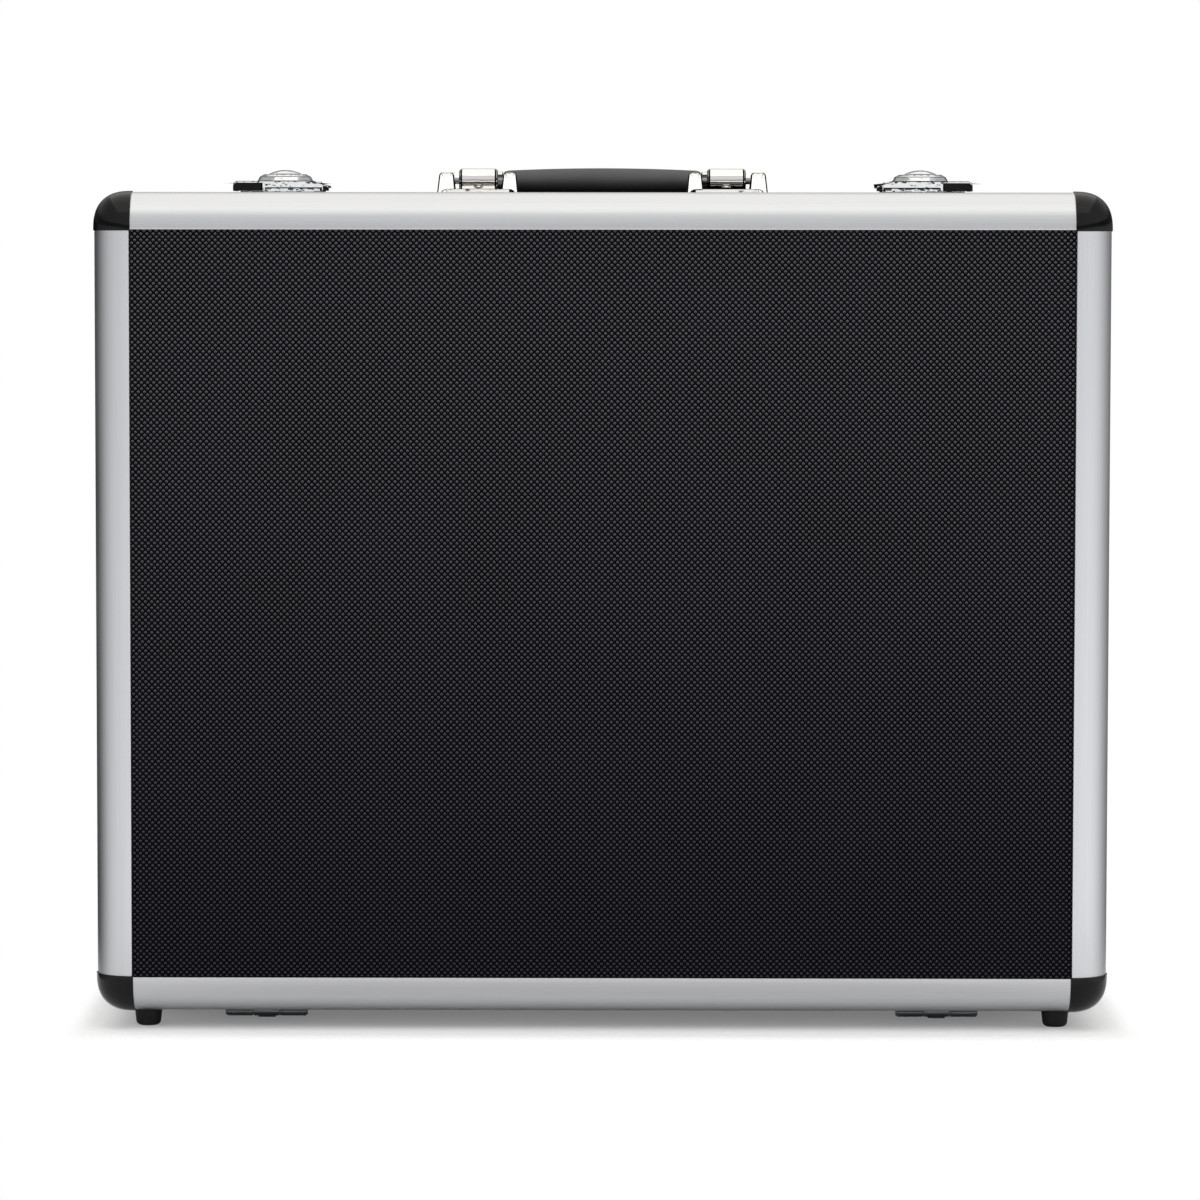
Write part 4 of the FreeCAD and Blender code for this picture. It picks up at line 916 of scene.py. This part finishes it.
class FLIGHTCASE_OT_stage(bpy.types.Operator):
    """White floor, studio light and camera"""

    bl_idname = "flight_case.stage"
    bl_label = "Studio"

    def execute(self, context):
        settings = context.scene.flight_case.stage
        context.scene.view_settings.view_transform = "Standard"
        self.world(context.scene, settings)
        self.floor(context.scene, settings)
        self.softbox(context.scene, settings)
        self.camera(context.scene, settings)
        return {"FINISHED"}

    def world(self, scene, settings):
        """White to the camera, brighter in front as light, and from bright in front to dark behind in metal."""
        world = bpy.data.worlds.new("white_studio")
        world.use_nodes = True
        tree = world.node_tree
        tree.nodes.clear()
        rays = add_node(tree, "ShaderNodeLightPath").outputs
        way = add_node(tree, "ShaderNodeTexCoord").outputs["Generated"]
        axes = add_node(tree, "ShaderNodeSeparateXYZ", {0: way}).outputs
        depth = ramp(tree, axes["Y"], MIRROR_DEPTH, (settings.front_tone, settings.back_tone))
        sides = number(tree, "MULTIPLY_ADD", axes["X"], settings.side_lean, depth)
        level = ramp(tree, axes["Z"], MIRROR_LEVEL, (settings.low_share, settings.high_share))
        top = ramp(tree, axes["Z"], MIRROR_TOP, (0.0, settings.top_tone))
        walls = number(tree, "MAXIMUM", number(tree, "MULTIPLY", sides, level), top)
        gap = number(tree, "COMPARE", axes["Z"], *MIRROR_GAP)
        mirrored = mixed_number(tree, gap, walls, settings.gap_tone)
        room = ramp(tree, axes["Y"], (-1.0, 1.0), (settings.room_front, settings.room_back), "LINEAR")
        tone = mixed_number(tree, rays["Is Glossy Ray"], room, mirrored)
        shown = mixed_colour(tree, rays["Is Camera Ray"], tone, linear("ffffff"))
        back = add_node(tree, "ShaderNodeBackground", {"Color": shown, "Strength": 1.0})
        add_node(tree, "ShaderNodeOutputWorld", {"Surface": back.outputs[0]})
        scene.world = world

    def floor(self, scene, settings):
        """Pale floor that keeps the case's shadow near it and clears to the white room further off."""
        case_half = Vector(CAD_BOX[1])
        case_half.z = 0.0
        bm = bmesh.new()
        bmesh.ops.create_grid(bm, x_segments=1, y_segments=1, size=1.0)
        bmesh.ops.scale(bm, verts=bm.verts, vec=case_half + Vector((1, 1, 0)) * settings.floor_reach)
        mesh = bpy.data.meshes.new("floor")
        bm.to_mesh(mesh)
        bm.free()
        floor = bpy.data.objects.new("floor", mesh)
        scene.collection.objects.link(floor)
        mesh.materials.append(self.floor_finish(settings, case_half))

    def floor_finish(self, settings, case_half):
        """Matt white paint, seen less and less with the distance from the case, and sooner at its sides."""
        material, tree, shader, place = start_material("matt_white_floor")
        seen = add_node(tree, "ShaderNodeLightPath").outputs["Is Camera Ray"]
        pale = mixed_colour(tree, seen, settings.floor_bounce, settings.floor_tone)
        tree.links.new(pale, shader.inputs["Base Color"])
        shader.inputs["Roughness"].default_value = 0.9
        shader.inputs["Specular IOR Level"].default_value = 0.1
        beyond = vector(tree, "SUBTRACT", vector(tree, "ABSOLUTE", place), case_half)
        outside = vector(tree, "MAXIMUM", beyond, (0, 0, 0))
        narrowed = vector(tree, "MULTIPLY", outside, (2, 1, 1))
        away = vector(tree, "LENGTH", narrowed, output="Value")
        fade = ramp(tree, away, (0.0, settings.floor_fade), (settings.floor_lift, 1.0))
        amount = number(tree, "MULTIPLY", fade, seen)
        clear = add_node(tree, "ShaderNodeBsdfTransparent").outputs[0]
        both = add_node(tree, "ShaderNodeMixShader", {0: amount, 1: shader.outputs[0], 2: clear})
        tree.links.new(both.outputs[0], tree.nodes["Material Output"].inputs["Surface"])
        return material

    def softbox(self, scene, settings):
        """Wide light overhead, with its middle behind the case."""
        lamp = bpy.data.lights.new("overhead_softbox", "AREA")
        lamp.shape = "RECTANGLE"
        lamp.size, lamp.size_y = settings.top_size
        lamp.energy = settings.top_watts
        lamp.color = settings.top_tint[:3]
        holder = bpy.data.objects.new("overhead_softbox", lamp)
        holder.location = settings.top_place
        scene.collection.objects.link(holder)

    def camera(self, scene, settings):
        """Long lens before the lid's face, where the photograph's stood."""
        lens = bpy.data.cameras.new("camera")
        lens.sensor_width = SENSOR_MM
        lens.lens = settings.focal_pixels / PICTURE_PIXELS * SENSOR_MM
        lens.shift_x = settings.shift_pixels / PICTURE_PIXELS
        ahead = Vector((
            math.sin(settings.turn) * math.cos(settings.pitch),
            math.cos(settings.turn) * math.cos(settings.pitch),
            math.sin(settings.pitch),
        ))
        level = Vector((math.cos(settings.turn), -math.sin(settings.turn), 0.0))
        over = level.cross(ahead)
        right = level * math.cos(settings.roll) + over * math.sin(settings.roll)
        up = over * math.cos(settings.roll) - level * math.sin(settings.roll)
        holder = bpy.data.objects.new("camera", lens)
        spot = Vector((settings.side, CAD_FRAME_FRONT - settings.distance, settings.height))
        holder.matrix_world = Matrix.Translation(spot) @ Matrix((right, up, -ahead)).transposed().to_4x4()
        scene.collection.objects.link(holder)
        scene.camera = holder


class FLIGHTCASE_PT_sidebar(bpy.types.Panel):
    """Lists the steps that dress the flight case"""

    bl_label = "Flight case"
    bl_idname = "FLIGHTCASE_PT_sidebar"
    bl_space_type = "VIEW_3D"
    bl_region_type = "UI"
    bl_category = "Flight case"

    def draw(self, context):
        for step in OPERATORS:
            self.layout.operator(step.bl_idname)


OPERATORS = (
    FLIGHTCASE_OT_panels,
    FLIGHTCASE_OT_frame,
    FLIGHTCASE_OT_latches,
    FLIGHTCASE_OT_handle,
    FLIGHTCASE_OT_hinges,
    FLIGHTCASE_OT_lining,
    FLIGHTCASE_OT_stage,
)
CLASSES = (
    PanelSettings,
    FrameSettings,
    HardwareSettings,
    LiningSettings,
    StageSettings,
    FlightCaseSettings,
) + OPERATORS + (FLIGHTCASE_PT_sidebar,)


def register():
    for item in CLASSES:
        bpy.utils.register_class(item)
    bpy.types.Scene.flight_case = PointerProperty(type=FlightCaseSettings)


def unregister():
    del bpy.types.Scene.flight_case
    for item in reversed(CLASSES):
        bpy.utils.unregister_class(item)


def main():
    register()
    bpy.ops.flight_case.panels()
    bpy.ops.flight_case.frame()
    bpy.ops.flight_case.latches()
    bpy.ops.flight_case.handle()
    bpy.ops.flight_case.hinges()
    bpy.ops.flight_case.lining()
    bpy.ops.flight_case.stage()


if __name__ == "__main__":
    main()
